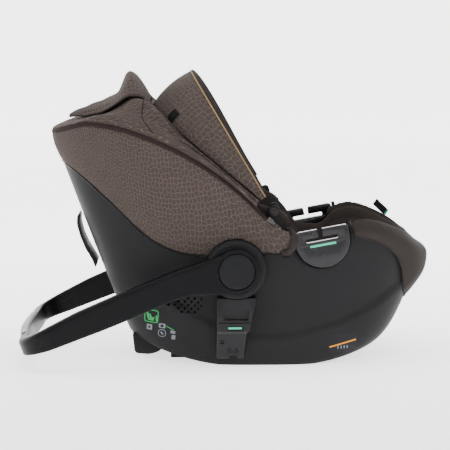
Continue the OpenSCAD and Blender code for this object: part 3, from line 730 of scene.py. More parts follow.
# ---- Handle grip and strap clip -----------------------------------------------------------
# A smooth soft-touch strip let into the top of the crossbar, and the small clip moulded on the far
# arm that keeps a strap in place.
grip_black = plastic("grip_black", "#0b0b0d", 0.3, 1.2, 0.02)
rows = []
for y in np.linspace(-128, 128, 49):
    bow = bar_reach - bar_width / 2 + 3.5 * (1 + math.cos(math.pi * y / 160))
    end = math.sqrt(max(1 - (abs(y) / 128) ** 10, 0))
    rows.append([handle_place(bow + u * (1 + 5.2 * end), y, 15 + 1.5 * end * (1 - u ** 4) - 0.8)
                 for u in np.linspace(-1, 1, 9)])
grip = grid_object("handle_grip", rows, grip_black)
thicken(grip, 1.2, 1)
settle(grip, "handle", "soft_touch", "handle_grip")
clip_outline = [(-312, 64), (-306, 60), (-288, 70), (-285, 80), (-289, 83), (-293, 76), (-304, 70),
                (-307, 75), (-311, 74)]
strap_clip = prism("strap_clip", rounded(clip_outline, 2, 3), 198.5, 202.5, handle_satin, 0.8)
settle(strap_clip, "handle", "soft_touch")

# ---- Side latches -------------------------------------------------------------------------
# The stroller adapter block under each hub, in two tiers: a finger slot over a ledge, a mint mark
# in a small well, and a square catch and notch in the lower tier, which slopes in to the floor.
latch_plastic = plastic("latch_plastic", "#141416", 0.34, 0.8, 0.025, 0.04, 0.05, 0.14)
mint_mark = plastic("mint_mark", "#3fae8b", 0.4, 0.6, 0.01)
section = [(-169, 122), (-171, 127), (-196, 127), (-196, 68), (-190, 64), (-165, 16), (-157, 16), (-160, 50)]
right_edge = ((16, 33), (62, 36), (68, 43), (88, 45), (127, 54))
faces = [tuple(range(len(section))), tuple(range(2 * len(section) - 1, len(section) - 1, -1))]
points = [(-14, y, z) for y, z in section] + [(lookup(z, right_edge), y, z) for y, z in section]
n = len(section)
faces += [((i + 1) % n, i, n + i, n + (i + 1) % n) for i in range(n)]
latch = mesh_object("side_latch_right", points, faces, latch_plastic)
tidy_normals(latch)
apply_modifier(latch, "BEVEL", width=1.3 * MM, segments=3, angle_limit=math.radians(25))
notch = [(5, 27), (24, 27), (24, 36), (18, 36), (18, 31), (11, 31), (11, 36), (5, 36)]
ledge = prism("ledge", rounded(corners(-12, 80, 45, 83.5), 1.4), -198.2, -190, latch_plastic, 0.8)
cut(latch, [prism("slot_tool", rounded(corners(-2, 88, 41, 106), 3), -200, -188.5),
            prism("well_tool", rounded(corners(4, 69.5, 32, 78.5), 3.8), -200, -192.6),
            prism("catch_tool", rounded(corners(-9, 44, -1, 52), 1.5), -200, -176),
            prism("notch_tool", rounded(notch, 1), -190, -169.5),
            prism("foot_tool", corners(8, 8, 22, 21), -172, -150),
            side_cylinder("ring_tool", hub_x, hub_z, 52.4, -199.5, -140)])
sharpen(latch, 40)
settle_pair(latch, "side_latch", "trim_plastic")
mark = prism("latch_mark_right", rounded(corners(5.5, 72, 29.5, 76), 1.9),
             -194.4, -192.7, mint_mark, 0.5)
settle_pair(ledge, "ledge", "trim_plastic", framed=False)
settle_pair(mark, "latch_mark", "green_mark")

# ---- Belt guides --------------------------------------------------------------------------
# A D-shaped plate let into the rim on each side, with a long slot and a narrow entry between two
# hooked lips for the vehicle's belt. The mint mark shows where the belt lies; a raised rim rings it.
guide_gloss = plastic("guide_gloss", "#101013", 0.26, 0.8, 0.02, 0.04, 0.1, 0.3)


def guide_shape(points):
    """An outline given in the guide's own axes."""
    return [guide_place(u, v) for u, v in points]


body_outline = rounded([(-48, -20)] + [(48 * math.cos(a), -20 + 48 * math.sin(a))
                                       for a in np.linspace(math.pi, 2 * math.pi, 40)[1:-1]]
                       + [(48, -20), (48, 0), (-48, 0)], 7, 6)
guide = prism("belt_guide_right", guide_shape(body_outline), -192, -178, guide_gloss, 2.2, 4)
slot = rounded(corners(-28.5, -21, 28.5, -14), 3.3, 5)
cut(guide, [prism("slot_tool", guide_shape(slot), -200, -170),
            prism("entry_tool", guide_shape([(-5, -16), (1.5, -16), (3.5, 8), (-7, 8)]), -200, -170),
            prism("mark_tool", guide_shape(rounded(corners(-23.2, -30.2, 23.2, -25.8), 2)), -195, -191)])
apply_modifier(guide, "BEVEL", width=0.9 * MM, segments=2, angle_limit=math.radians(60))
sharpen(guide, 48)
guide_mark = prism("guide_mark_right", guide_shape(rounded(corners(-23, -30, 23, -26), 1.9)),
                   -192.3, -191.1, mint_mark, 0.4)
rim_path = [(x, wall(x, z, 0.2)[1], z) for x, z in
            guide_shape([(-51.5, 2)] + [(51.5 * math.cos(a), -20 + 51.5 * math.sin(a))
                                        for a in np.linspace(math.pi, 2 * math.pi, 46)] + [(51.5, 2)])]
guide_rim = tube("guide_rim_right", rim_path, 3.3, trim_plastic)
settle_pair(guide, "belt_guide", "trim_plastic")
settle_pair(guide_mark, "guide_mark", "green_mark")
settle_pair(guide_rim, "guide_rim", "shell_plastic", framed=False)

# ---- Outer cover --------------------------------------------------------------------------
# Taupe jersey embossed with a crocodile pattern, pulled tight over the shell's head end from the
# zip down to a thin black piping. The cells grow from 4.6 mm at the head to 9.5 mm by the belt guide.
zip_height = ((-310, 404), (-290, 410), (-240, 424), (-203, 420), (-166, 411), (-126, 397), (-78, 375),
              (-41, 353), (0, 325), (27, 303), (55, 276), (75, 256), (95, 244), (120, 240))
cover_edge = ((-310, 370), (-276, 355), (-241, 331), (-216, 308), (-191, 286), (-151, 246), (-126, 226),
              (-101, 212), (-74, 203), (-20, 197), (40, 200), (72, 204), (95, 203), (106, 208), (118, 226))


def curve_through(points, steps=5, closed=True):
    """A smooth curve through points, passing each of them."""
    p = np.asarray(points, float)
    n = len(p)
    out = []
    for i in range(n if closed else n - 1):
        a, b, c, d = (p[(i + k) % n] if closed else p[min(max(i + k, 0), n - 1)] for k in (-1, 0, 1, 2))
        for t in np.arange(steps) / steps:
            out.append(0.5 * (2 * b + (c - a) * t + (2 * a - 5 * b + 4 * c - d) * t ** 2
                              + (3 * b - a - 3 * c + d) * t ** 3))
    return out if closed else out + [p[-1]]


def v_at(w, table):
    """Where the shell's wall at polar angle w meets a line of heights."""
    v = 0.8
    for _ in range(14):
        x, low, high = shell_point(w, v)[0], shell_point(w, 0)[2], shell_point(w, 1)[2]
        v = (eased(x, table) - low) / (high - low)
    return v


def cloth(name, colour, pale, cells, depth=0.5, sheen=0.08, knit_mm=0.9):
    """Knitted cloth. cells is how many embossed cells fit in one unit of the pattern map, or 0 for
    plain. The knit is really 0.5 mm wide and is drawn coarser so that it shows."""
    material, tree, shader = new_material(name)
    shader.inputs["Roughness"].default_value = 0.9
    shader.inputs["Specular IOR Level"].default_value = 0.15
    shader.inputs["Sheen Weight"].default_value = sheen
    shader.inputs["Sheen Roughness"].default_value = 0.45
    shader.inputs["Sheen Tint"].default_value = linear(pale)
    place = add_node(tree, "ShaderNodeTexCoord").outputs["Object"]
    knit = add_node(tree, "ShaderNodeTexVoronoi", {"Scale": 1 / (knit_mm * MM)}, {"Vector": place})
    cloud = add_node(tree, "ShaderNodeTexNoise", {"Scale": 45.0, "Detail": 3.0}, {"Vector": place})
    tone = add_node(tree, "ShaderNodeValToRGB", links={"Fac": cloud.outputs["Fac"]})
    tone.color_ramp.elements[0].color = tuple(c * 0.9 for c in linear(colour)[:3]) + (1,)
    tone.color_ramp.elements[1].color = tuple(c * 1.1 for c in linear(colour)[:3]) + (1,)
    bump = add_node(tree, "ShaderNodeBump", {"Strength": 0.35, "Distance": 0.12 * MM},
                    {"Height": knit.outputs["Distance"]})
    colour_out, normal_out = tone.outputs["Color"], bump.outputs["Normal"]
    if cells:
        pattern = add_node(tree, "ShaderNodeUVMap", uv_map="pattern").outputs["UV"]
        waver = add_node(tree, "ShaderNodeTexNoise", {"Scale": 0.7 * cells, "Detail": 1.0},
                         {"Vector": pattern})
        shifted = add_node(tree, "ShaderNodeVectorMath", {"Scale": 0.35 / cells},
                           {"Vector": waver.outputs["Color"]}, operation="SCALE")
        bent = add_node(tree, "ShaderNodeVectorMath", links={0: pattern, 1: shifted.outputs["Vector"]},
                        operation="ADD")
        scales = add_node(tree, "ShaderNodeTexVoronoi", {"Scale": float(cells), "Randomness": 0.62},
                          {"Vector": bent.outputs["Vector"]}, voronoi_dimensions="2D",
                          feature="DISTANCE_TO_EDGE")
        crease = add_node(tree, "ShaderNodeMapRange", {"From Min": 0.0, "From Max": 0.17},
                          {"Value": scales.outputs["Distance"]}, interpolation_type="SMOOTHSTEP")
        seam = add_node(tree, "ShaderNodeMapRange",
                        {"From Min": 0.0, "From Max": 0.1, "To Min": 0.55, "To Max": 0.0},
                        {"Value": scales.outputs["Distance"]})
        tinted = add_node(tree, "ShaderNodeMix", links={"Factor": seam.outputs["Result"]}, data_type="RGBA")
        tree.links.new(tone.outputs["Color"], tinted.inputs[6])
        tinted.inputs[7].default_value = linear(pale)
        emboss = add_node(tree, "ShaderNodeBump", {"Strength": 1.0, "Distance": depth * MM},
                          {"Height": crease.outputs["Result"], "Normal": bump.outputs["Normal"]})
        colour_out, normal_out = tinted.outputs[2], emboss.outputs["Normal"]
    tree.links.new(colour_out, shader.inputs["Base Color"])
    tree.links.new(normal_out, shader.inputs["Normal"])
    return material


croc_jersey = cloth("croc_jersey", "#3b3330", "#6a5f57", 1, 1.0)
smooth_jersey = cloth("smooth_jersey", "#292422", "#4c4440", 0)
piping_black = plastic("piping_black", "#0d0d0e", 0.25, 1.2, 0.02)


def cell_map(rows, small=4.6, large=9.5, tall=1.25):
    """Pattern coordinates in cells, which grow in mm from the head end to the foot end. tall is their
    height over their width."""
    rows = np.asarray(rows, float)
    full = small + (large - small) * np.clip((rows[..., 0] + 290) / 360, 0, 1)
    across = np.linalg.norm(np.diff(rows, axis=0), axis=2) / ((full[1:] + full[:-1]) / 2)
    u = np.concatenate([np.zeros((1, rows.shape[1])), np.cumsum(across, 0)])
    u = u - u[len(u) // 2] + 60
    step = np.linalg.norm(np.diff(rows, axis=1), axis=2)
    v = np.concatenate([np.zeros((rows.shape[0], 1)), np.cumsum(step / (full[:, 1:] * tall), 1)], 1)
    return np.stack([np.repeat(u.mean(1)[:, None], rows.shape[1], 1) * 0.5 + u * 0.5, v + 20], -1)


rows, lower_line = [], []
for w in np.arange(60.5, 299.6, 1.0):
    a, b = v_at(w, cover_edge), v_at(w, zip_height)
    creased = 1 if w < 85 or w > 275 else 0.25
    row = []
    for k in np.linspace(0, 1, 44):
        stand = 1.3 + 3.6 * math.sin(math.pi * k) ** 0.6
        stand += 0.7 * math.sin(k * 9 + w * 0.31) * math.sin(w * 0.17) * creased
        row.append(shell_point(w, mix(a, b, k), -stand))
    rows.append(row)
    lower_line.append(shell_point(w, a, -2.5) - (0, 0, 1.0))
cover = grid_object("outer_cover", rows, croc_jersey, uv=cell_map(rows))
tidy_normals(cover)
tools = []
for side in (-1, 1):
    near, far = sorted((side * 140, side * 205))
    tools.append(side_cylinder("hub_tool", hub_x, hub_z, 53, near, far))
    tools.append(prism("guide_tool", guide_outline(6, 42), near, far))
thicken(cover, 1.6, 1)
cut(cover, tools)
settle(cover, "seat", "embossed_jersey", "outer_cover")
edge_piping = tube("cover_piping", lower_line, 2.4, piping_black)
settle(edge_piping, "seat", "binding")
roll_line = ((97, 206), (108, 206), (116, 214), (119, 228), (116, 240), (107, 246))
for side, word in both_sides:
    spots = curve_through([wall(x, z, 3.2, side) for x, z in roll_line], 6, False)
    fat = [2.5 + 4.2 * math.sin(math.pi * k) ** 0.6 + 0.5 * math.sin(k * 31)
           for k in np.linspace(0, 1, len(spots))]
    end_roll = tube("cover_end_" + word, spots, fat, smooth_jersey, 12)
    settle(end_roll, "seat", "embossed_jersey")
loop_line = ((99, 204), (103, 199), (109, 198), (113, 203), (114, 210))
for side, word in both_sides:
    spots = [wall(x, z, 2.2, side) for x, z in loop_line]
    settle(tube("elastic_loop_" + word, spots, 2.4, piping_black, 8), "seat", "binding")

# ---- Zip ----------------------------------------------------------------------------------
# A dark brown coil zip joins the hood to the cover. Its two woven tapes lie flat with the coil
# ridge between them, and the slider with its steel pull sits at the foot end of the right side.
zip_brown = cloth("zip_brown", "#221918", "#3a2f2c", 0, sheen=0.15, knit_mm=0.7)
section = ((-0.9, 1.0), (0.2, 2.9), (2.6, 3.2), (3.0, 4.2), (3.8, 4.3), (4.3, 3.2), (6.8, 2.9), (7.6, 1.0))
rows = []
for w in np.arange(71, 289.1, 1.0):
    v = v_at(w, zip_height)
    rows.append([shell_point(w, v, -out) + (0, 0, up) for up, out in section])
zip_tape = grid_object("zip_tape", rows, zip_brown)
tidy_normals(zip_tape)
thicken(zip_tape, 0.8, 0)
settle(zip_tape, "seat", "binding", "zip_tape")
slider_place = Matrix.Translation((0.07845, -0.18926, 0.262)) @ Matrix.Rotation(math.radians(40), 4, "Y")
gunmetal = bright_steel("gunmetal", "#4a4643", 0.34)
slider = prism("zip_slider", rounded([(-6, -4.5), (6, -3.4), (6, 3.4), (-6, 4.5)], 1.6),
               -8.4, -5.4, gunmetal, 0.8)
pin_profile = [(0.01, -10.5), (0.8, -10.5), (1.0, -10.2), (1.0, -8.3), (0.01, -8.3)]
pin = lathe("slider_pin", 0, 0, pin_profile, gunmetal, 24)
for part in (slider, pin):
    part.data.transform(slider_place)
settle(slider, "seat", "bare_steel", "zip_slider")
settle(pin, "seat", "bare_steel")
outline = [(-2.6, -2.2), (2, -2.4), (23.5, -2.2), (23.5, 2.2), (2, 2.4), (-2.6, 2.2)]
pull = prism("zip_pull", rounded(outline, 1.6), -10.2, -8.9, gunmetal, 0.35)
cut(pull, [prism("pull_slot", rounded(corners(8, -1, 20, 1), 0.9), -12, -8),
           side_cylinder("pull_eye", 0, 0, 1.1, -12, -8, 24)])
pull.data.transform(slider_place)
sharpen(pull, 40)
settle(pull, "zip_pull", "bare_steel", "zip_pull")

# ---- Hood bows ----------------------------------------------------------------------------
# Two flat black hoops, 10 mm wide, turn on a screw at each hinge. The middle one lies under the
# seam of the rear panel and the front one carries the visor's piped edge.
hinge_x, hinge_z = 85, 278
bow_black = plastic("bow_black", "#151516", 0.4, 1.0)


def bow_point(angle, reach, half, q):
    """Point of a hoop at an angle round the hood's hinge and an angle q along it, 0 on the right."""
    a, c, s = math.radians(angle), math.cos(math.radians(q)), math.sin(math.radians(q))
    r = reach * abs(s) ** (2 / 2.6)
    across = -half * math.copysign(abs(c) ** (2 / 2.6), c)
    return np.array([hinge_x + r * math.cos(a), across, hinge_z + r * math.sin(a)])


for node, body, angle, reach, half in (("hood_bow_mid", "hood_mid", 141, 263, 176),
                                       ("hood_bow_front", "hood_front", 121, 268, 181)):
    along = np.array([-math.sin(math.radians(angle)), 0, math.cos(math.radians(angle))])
    rows = [[bow_point(angle, reach + r, half + r, q) + x * along
             for x, r in ((-5, 0.8), (-4.2, 0), (4.2, 0), (5, 0.8), (5, 3.2), (4.2, 4), (-4.2, 4), (-5, 3.2))]
            for q in np.linspace(4, 176, 121)]
    hoop = grid_object(node, rows, bow_black, tube=True)
    for side in (-1, 1):
        near, far = side * (half + 2) - 1.5, side * (half + 2) + 1.5
        eye_profile = [(3.05, near), (9, near), (9, far), (3.05, far), (3.05, near)]
        eye = lathe(node + "_eye", hinge_x, hinge_z, eye_profile, bow_black, 48)
        settle(eye, body, "trim_plastic")
    tidy_normals(hoop)
    sharpen(hoop, 35)
    settle(hoop, body, "trim_plastic", node)

# ---- Hood rear panel ----------------------------------------------------------------------
# The same embossed jersey, gathered from the zip up to the middle bow. It puffs out over the zip,
# then folds deeply under the bow's seam, and the fold runs down to the hinge on both sides.
rows = []
for q in np.linspace(4, 176, 150):
    w = 180 - (q - 90) * 1.2
    v = v_at(w, zip_height)
    low = shell_point(w, v, -2.2) + (0, 0, 8.2)
    high = bow_point(141.4, 271, 184, q)
    out = np.array([0, -math.cos(math.radians(q)), math.sin(math.radians(q))])
    side = abs(math.cos(math.radians(q)))
    wall_side = smooth((side - 0.15) / 0.45)
    row = []
    for k in np.linspace(0, 1, 60):
        bulge = 8.0 * math.sin(math.pi * min(k / 0.62, 1)) ** 0.7 if k < 0.62 else 0
        ridge = 10.0 * math.exp(-((k - 0.66) / 0.075) ** 2)
        gully = -9.0 * math.exp(-((k - 0.83) / 0.05) ** 2)
        ripple = 0.9 * math.sin(k * 30 + q * 0.55) * math.sin(q * 0.33 + 1)
        pucker = ripple * smooth((k - 0.1) / 0.3) * wall_side
        fall = 1 - abs(2 * k - 1) ** 4
        p = low + (high - low) * k + out * fall * ((bulge + ridge + gully) * wall_side + pucker + 1.0)
        over = 1 - smooth((side - 0.5) / 0.3)
        p = p + over * np.array([0, 0, 30.0 * math.exp(-((k - 0.76) / 0.2) ** 2) + 8.0 * fall * (1 - k)])
        row.append(p)
    rows.append(row)
side_seams = []
for side, word in both_sides:
    line = []
    for k in np.linspace(0.92, 0.06, 30):
        i = int(round((90 + side * (24 + 26 * (0.92 - k)) - 4) / 172 * 149))
        line.append(np.array(rows[i][int(round(k * 59))]) + (0, side * 0.8, 0.7))
    side_seams.append(tube("panel_seam_" + word, curve_through(line[::3], 3, False), 0.8, piping_black, 6))
rear_panel = grid_object("hood_rear_panel", rows, croc_jersey, uv=cell_map(rows, 7.5, 11))
tidy_normals(rear_panel)
thicken(rear_panel, 1.4, 0)


def fold_between(piece):
    """Bakes a hood panel's transform into its mesh."""
    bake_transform(piece)


# ---- Hood flap ----------------------------------------------------------------------------
# The loose middle of the rear panel, folded up into a peak behind the middle bow. Its lower edges
# hang free over a dark pocket on each side. It turns with the bow.
crest = ((-277, 435), (-271, 440), (-247, 450), (-221, 460), (-197, 470), (-187, 478), (-180, 494),
         (-173, 509), (-166, 514), (-158, 511), (-151, 503), (-141, 487), (-129, 466))
edge_height = ((-277, 434), (-234, 438), (-203, 450), (-179, 468), (-165, 475), (-153, 474),
               (-141, 468), (-129, 458))
edge_width = ((-277, 6), (-262, 26), (-234, 52), (-203, 86), (-179, 106), (-165, 108), (-153, 98),
              (-141, 88), (-129, 80))
rows = []
for x in np.linspace(-277, -129, 75):
    top, low, wide = eased(x, crest, 3), eased(x, edge_height, 5), eased(x, edge_width, 6)
    row = []
    for a in np.linspace(-90, 90, 61):
        s, c = math.sin(math.radians(a)), math.cos(math.radians(a))
        lean = 6 * smooth((x + 190) / 30) * (1 - abs(s)) * smooth((-135 - x) / 20)
        z = low + (top - low) * c ** 1.15 - 2.2 * math.exp(-((abs(s) - 0.93) / 0.06) ** 2)
        row.append((x - lean * 0.3, wide * s, z + 0.6 * math.sin(x * 0.21 + a * 0.07)))
    rows.append(row)
flap = grid_object("hood_flap", rows, croc_jersey, uv=cell_map(rows, 7, 9))
tidy_normals(flap)
thicken(flap, 2.4, 0)
hem = []
for side, word in both_sides:
    edge = [np.array(r[0 if side < 0 else -1]) + (0, -side * 1.0, -0.4) for r in rows]
    hem.append(tube("flap_hem_" + word, edge, 1.9, smooth_jersey, 8))
ridge_seam = tube("flap_seam", [np.array(r[14]) + (0, -0.6, 0.8) for r in rows[50:]], 0.8, piping_black, 6)
for piece in [rear_panel] + side_seams:
    fold_between(piece)
for piece in [flap, ridge_seam] + hem:
    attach(piece, "hood_mid")
    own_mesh(piece)
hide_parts("hood_rear_fabric")

# ---- Hood visor ---------------------------------------------------------------------------
# One tight panel between the two bows. The front hem has a thin tan piping and a dark bound band
# that is widest half way down each side; a black seam runs over the middle bow.
tan_piping = cloth("tan_piping", "#86704f", "#b39a72", 0, sheen=0.3, knit_mm=0.8)
band_brown = cloth("band_brown", "#272020", "#3f3532", 0, sheen=0.2, knit_mm=0.8)
hem_turns = np.linspace(3, 177, 150)
rows = []
for q in hem_turns:
    row = []
    for k in np.linspace(0, 1, 26):
        swell = 2.6 * math.sin(math.radians(q)) ** 2 * math.sin(math.pi * k)
        pull_in = -1.6 * math.exp(-(k / 0.08) ** 2)
        row.append(bow_point(mix(140.8, 121.2, k), 274.5 + k + swell + pull_in, 187.5 + pull_in, q))
    rows.append(row)
visor = grid_object("hood_visor", rows, croc_jersey, uv=cell_map(rows, 10, 10, 0.85))
tidy_normals(visor)
thicken(visor, 1.4, 0)
front_line = [bow_point(121.0, 276.4, 188.6, q) for q in hem_turns]
front_piping = tube("visor_piping", front_line, 1.25, tan_piping, 8)
rows = []
for q in hem_turns:
    wide = 2.0 + 6.5 * abs(math.sin(math.radians(2 * q))) ** 1.2
    row = []
    for k in np.linspace(0, 1, 8):
        angle = 120.8 - math.degrees(wide * k / 274) / max(math.sin(math.radians(q)) ** 0.77, 0.25)
        crown = math.sin(math.pi * k)
        row.append(bow_point(angle, 275.4 + 1.6 * crown - 1.5 * k, 187.6 + 1.2 * crown, q))
    rows.append(row)
band = grid_object("visor_band", rows, band_brown)
tidy_normals(band)
thicken(band, 2.0, 0)
mid_seam = tube("visor_seam", [bow_point(140.9, 273.6, 186.4, q) for q in hem_turns], 1.3, piping_black, 8)
for piece in (visor, mid_seam):
    fold_between(piece)
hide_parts("hood_visor_fabric")
settle(front_piping, "hood_front", "binding")
settle(band, "hood_front", "binding")

# ---- Hood tab and hinge brackets ----------------------------------------------------------
# A black woven loop tab is sewn in the seam on the right. Blue-black nylon brackets hold the bows'
# screws at the rim on both sides, and a knot of brown cloth covers each screw's head.
woven_black = cloth("woven_black", "#09090a", "#1a1a1c", 0, sheen=0.1, knit_mm=1.2)
tab_turns = list(zip(np.linspace(0, 1, 9), np.linspace(139.4, 134.6, 9)))
rows = [[bow_point(a, 277.2 + 0.9 * math.sin(math.pi * k), 189.6, q) for k, a in tab_turns]
        for q in np.linspace(52.5, 57.5, 7)]
tab = grid_object("hood_tab", rows, woven_black)
tidy_normals(tab)
thicken(tab, 1.2, 0)
settle(tab, "hood_mid", "binding", "hood_tab")
bracket_nylon = plastic("bracket_nylon", "#121419", 0.38, 0.8, 0.03)
outline = [(77, 244), (93, 244), (94, 262), (95, 280), (92, 289), (86, 292), (79, 289), (75, 280), (76, 262)]
bracket = prism("hood_bracket_right", rounded(outline, 5), -174.5, -171.2, bracket_nylon, 1.2)
foot_block = prism("bracket_foot_right", rounded(corners(77, 244, 93, 252), 2),
                   -182, -173, bracket_nylon, 0.8)
screw_profile = [(0.01, -186.4), (2.2, -186.3), (2.9, -185.7), (2.9, -173), (0.01, -173)]
screw = lathe("bracket_screw_right", hinge_x, hinge_z, screw_profile, bracket_nylon, 48)
cuff_profile = [(0.01, -190.0), (4, -189.8), (6.2, -189.0), (7.4, -187.6), (7.8, -185.8), (7.4, -183.5),
                (0.01, -183.5)]
cuff = lathe("hood_cuff_right", hinge_x, hinge_z - 2, cuff_profile, band_brown, 48)
for part in (cuff, mirrored(cuff, "hood_cuff_left")):
    settle(part, "hood_front", "smooth_jersey")
settle_pair(bracket, "hood_bracket", "trim_plastic")
settle_pair(foot_block, "bracket_foot", "trim_plastic", framed=False)
settle_pair(screw, "bracket_screw", "trim_plastic", framed=False)

# ---- Foot cover ---------------------------------------------------------------------------
# A padded sleeve of smooth brown jersey rolls over the foot end of the rim, fullest in the middle,
# and gathers in small creases where it meets the belt guides.
foot_edge = ((0, 107), (10, 112), (16, 128), (18, 147), (20.5, 170), (24, 194), (28, 212), (32, 223),
             (40, 233))
up = np.array([0, 0, 1.0])
rows = []
for w in np.linspace(39.5, -39.5, 150):
    low, high = shell_point(w, 0)[2], shell_point(w, 1)[2]
    edge = (lookup(folded(w), foot_edge) - low) / (high - low)
    end = smooth((39.5 - abs(w)) / 5) ** 0.5
    fat = 21 * math.cos(math.radians(w * 1.6)) ** 2
    crease = 1.2 * math.sin(w * 5.1 + 0.8 * math.sin(w * 3)) * smooth((abs(w) - 24) / 10)
    outside = [shell_point(w, edge, -1), shell_point(w, edge, -4),
               shell_point(w, mix(edge, 1, 0.3), -4 - 0.45 * fat),
               shell_point(w, mix(edge, 1, 0.65), -5 - 0.8 * fat - crease * 0.5)]
    over_rim = [shell_point(w, 1, -5 - 0.55 * fat - crease) + 2 * up,
                shell_point(w, 1, -1) + (8 + 3.5 * end + crease) * up,
                shell_point(w, 1, 10) + (9 + 5.5 * end - crease) * up, shell_point(w, 1, 15) + 6 * up]
    underside = [shell_point(w, 0.97, 15.5), shell_point(w, 0.94, 5), shell_point(w, 1, 5) + 1.6 * up,
                 shell_point(w, 1, -1) + 1.6 * up, shell_point(w, mix(edge, 1, 0.66), -1.3),
                 shell_point(w, mix(edge, 1, 0.33), -1.3)]
    rows.append(curve_through(outside + over_rim + underside, 4))
foot_cover = grid_object("foot_cover", rows, smooth_jersey, tube=True)
close_ends(foot_cover)
settle(foot_cover, "seat", "smooth_jersey", "foot_cover")
seam_line = [np.array(r[25]) + (0, 0, 0.3) for r in rows[6:-6]]
foot_seam = tube("foot_cover_seam", seam_line, 0.7, smooth_jersey, 6)
foot_hem = tube("foot_cover_hem", [np.array(r[4]) for r in rows[1:-1]], 1.5, smooth_jersey, 8)
for part in (foot_seam, foot_hem):
    settle(part, "seat", "smooth_jersey")

# ---- Foot tag -----------------------------------------------------------------------------
# A small folded label without lettering, sewn in the seam of the foot cover on the left; its fold
# has a green edge.
tag_cloth = cloth("tag_cloth", "#17181d", "#33353c", 0, sheen=0.1, knit_mm=0.7)
tag_green = cloth("tag_green", "#3fae8b", "#5fc0a0", 0, sheen=0.1, knit_mm=0.7)
tag_place = (Matrix.Translation((0.305, 0.139, 0.251)) @ Matrix.Rotation(math.radians(-38), 4, "Z")
             @ Matrix.Rotation(math.radians(38), 4, "Y"))
tags = []
for name, x0, x1, material in (("foot_tag_edge", 13.6, 17, tag_green), ("foot_tag", -17, 13.5, tag_cloth)):
    rows = [[(x, 0.5 * math.sin(x * 0.2), z) for x in np.linspace(x0, x1, 14)] for z in np.linspace(-7, 7, 6)]
    tag = grid_object(name, rows, material)
    thicken(tag, 1.1, 0)
    tag.data.transform(tag_place)
    tags.append(tag)
settle(tags[0], "seat", "binding")
settle(tags[1], "seat", "binding", "foot_tag")

# ---- Seat cover ---------------------------------------------------------------------------
# One padded bowl of the smooth jersey lines the shell, 9 mm thick, rolled over at the rim with a
# pale topstitch 20 mm below it. Sewn channels cross the backrest and the seat.
seat_rim = ((-290, 408), (-240, 426), (-165, 420), (-100, 394), (-40, 358), (0, 330), (45, 294), (70, 282),
            (99, 277), (125, 250), (140, 218), (195, 216), (208, 240), (240, 252), (265, 250), (290, 241),
            (325, 224))
seat_floor = ((-280, 424), (-160, 240), (-100, 176), (-40, 125), (20, 97), (80, 89), (140, 100), (190, 124),
              (240, 156))
stitch_pale = cloth("stitch_pale", "#7d6f66", "#9a8c82", 0, sheen=0.1, knit_mm=1.2)


def seat_point(w, v, out=0.0):
    """Point of the seat's hollow, moved outwards by some mm."""
    bx, by = oval(w, 35, 190 + out, 190 + out, 105 + out, 2.5)
    rx, ry = oval(w, 10, 317 + out, 281 + out, 161 + out, 3)
    k = v ** lookup(folded(w), ((0, 0.8), (60, 0.5), (120, 0.5), (150, 0.8), (180, 1)))
    z = mix(eased(bx, seat_floor) - out, eased(rx, seat_rim), v)
    return np.array([mix(bx, rx, k), mix(by, ry, k), z])


def seat_ring(w, s, out):
    """Point of the seat's floor at a share s of the way out from its middle, moved down by some mm."""
    x, y = oval(w, 35, (190 + out) * s, (190 + out) * s, (105 + out) * s, 2.5)
    return np.array([x, y, eased(x, seat_floor) - out])


rows, stitch = [], []
for w in np.arange(0, 360, 2.0):
    row = []
    for s in (0.02, 0.12, 0.24, 0.36, 0.48, 0.6, 0.72, 0.84, 0.94):
        p = seat_ring(w, s, 0)
        row.append(p - (0, 0, 1.6 * math.exp(-((p[0] % 46 - 23) / 3.5) ** 2)))
    for v in np.linspace(0, 0.95, 34):
        upright = math.exp(-(((w + 6) % 24 - 12) / 1.6) ** 2) if v < 0.86 else 0
        channel = 1.6 * (math.exp(-((v - 0.86) / 0.02) ** 2) + upright)
        row.append(seat_point(w, v, channel - 1.2 * math.sin(math.pi * v / 0.95)))
    stitch.append(seat_point(w, 0.885, -0.2))
    row += [seat_point(w, 0.985, 0.4), seat_point(w, 1.0, 2.2) + (0, 0, 1.2),
            seat_point(w, 1.0, 4.5) + (0, 0, 1.9), seat_point(w, 1.0, 6.8) + (0, 0, 1.2),
            seat_point(w, 0.985, 8.6), seat_point(w, 0.95, 9)]
    row += [seat_point(w, v, 9) for v in np.linspace(0.85, 0, 8)]
    row += [seat_ring(w, s, 9) for s in (0.7, 0.35, 0.02)]
    rows.append(row)
seat_cover = grid_object("seat_cover", rows, smooth_jersey, ring=True, tube=True)
tidy_normals(seat_cover)
tools = []
for side in (-1, 1):
    near, far = sorted((side * 160, side * 205))
    tools.append(prism("guide_tool", guide_outline(1.6, 42), near, far))
cut(seat_cover, tools)
settle(seat_cover, "seat", "smooth_jersey", "seat_cover")
for number, (first, last) in enumerate(((34, 59), (121, 146))):
    dashes = []
    for i in np.arange(first, last, 0.5):
        a, b = stitch[int(i)], stitch[(int(i) + 1) % 180]
        dashes.append(a + (b - a) * (i % 1))
    topstitch = tube("topstitch_%d" % number, dashes, 0.55, stitch_pale, 6)
    settle(topstitch, "seat", "smooth_jersey")
foam_grey = plastic("foam_grey", "#2a2a2c", 0.9, 2.5, 0.3)
dress(foam_grey, "foam_liner")

# ---- Headrest and newborn insert ----------------------------------------------------------
# Stuffed pads swollen by a short cloth simulation from a smaller start shape: a butterfly headrest
# with two wings, and a waisted insert with a hollow for the baby's back. Seams are pressed in after.


def pad_point(x, y, over):
    """Point above the backrest and the seat."""
    return np.array([x, y, eased(x, seat_floor) + 0.004 * y * y + over])


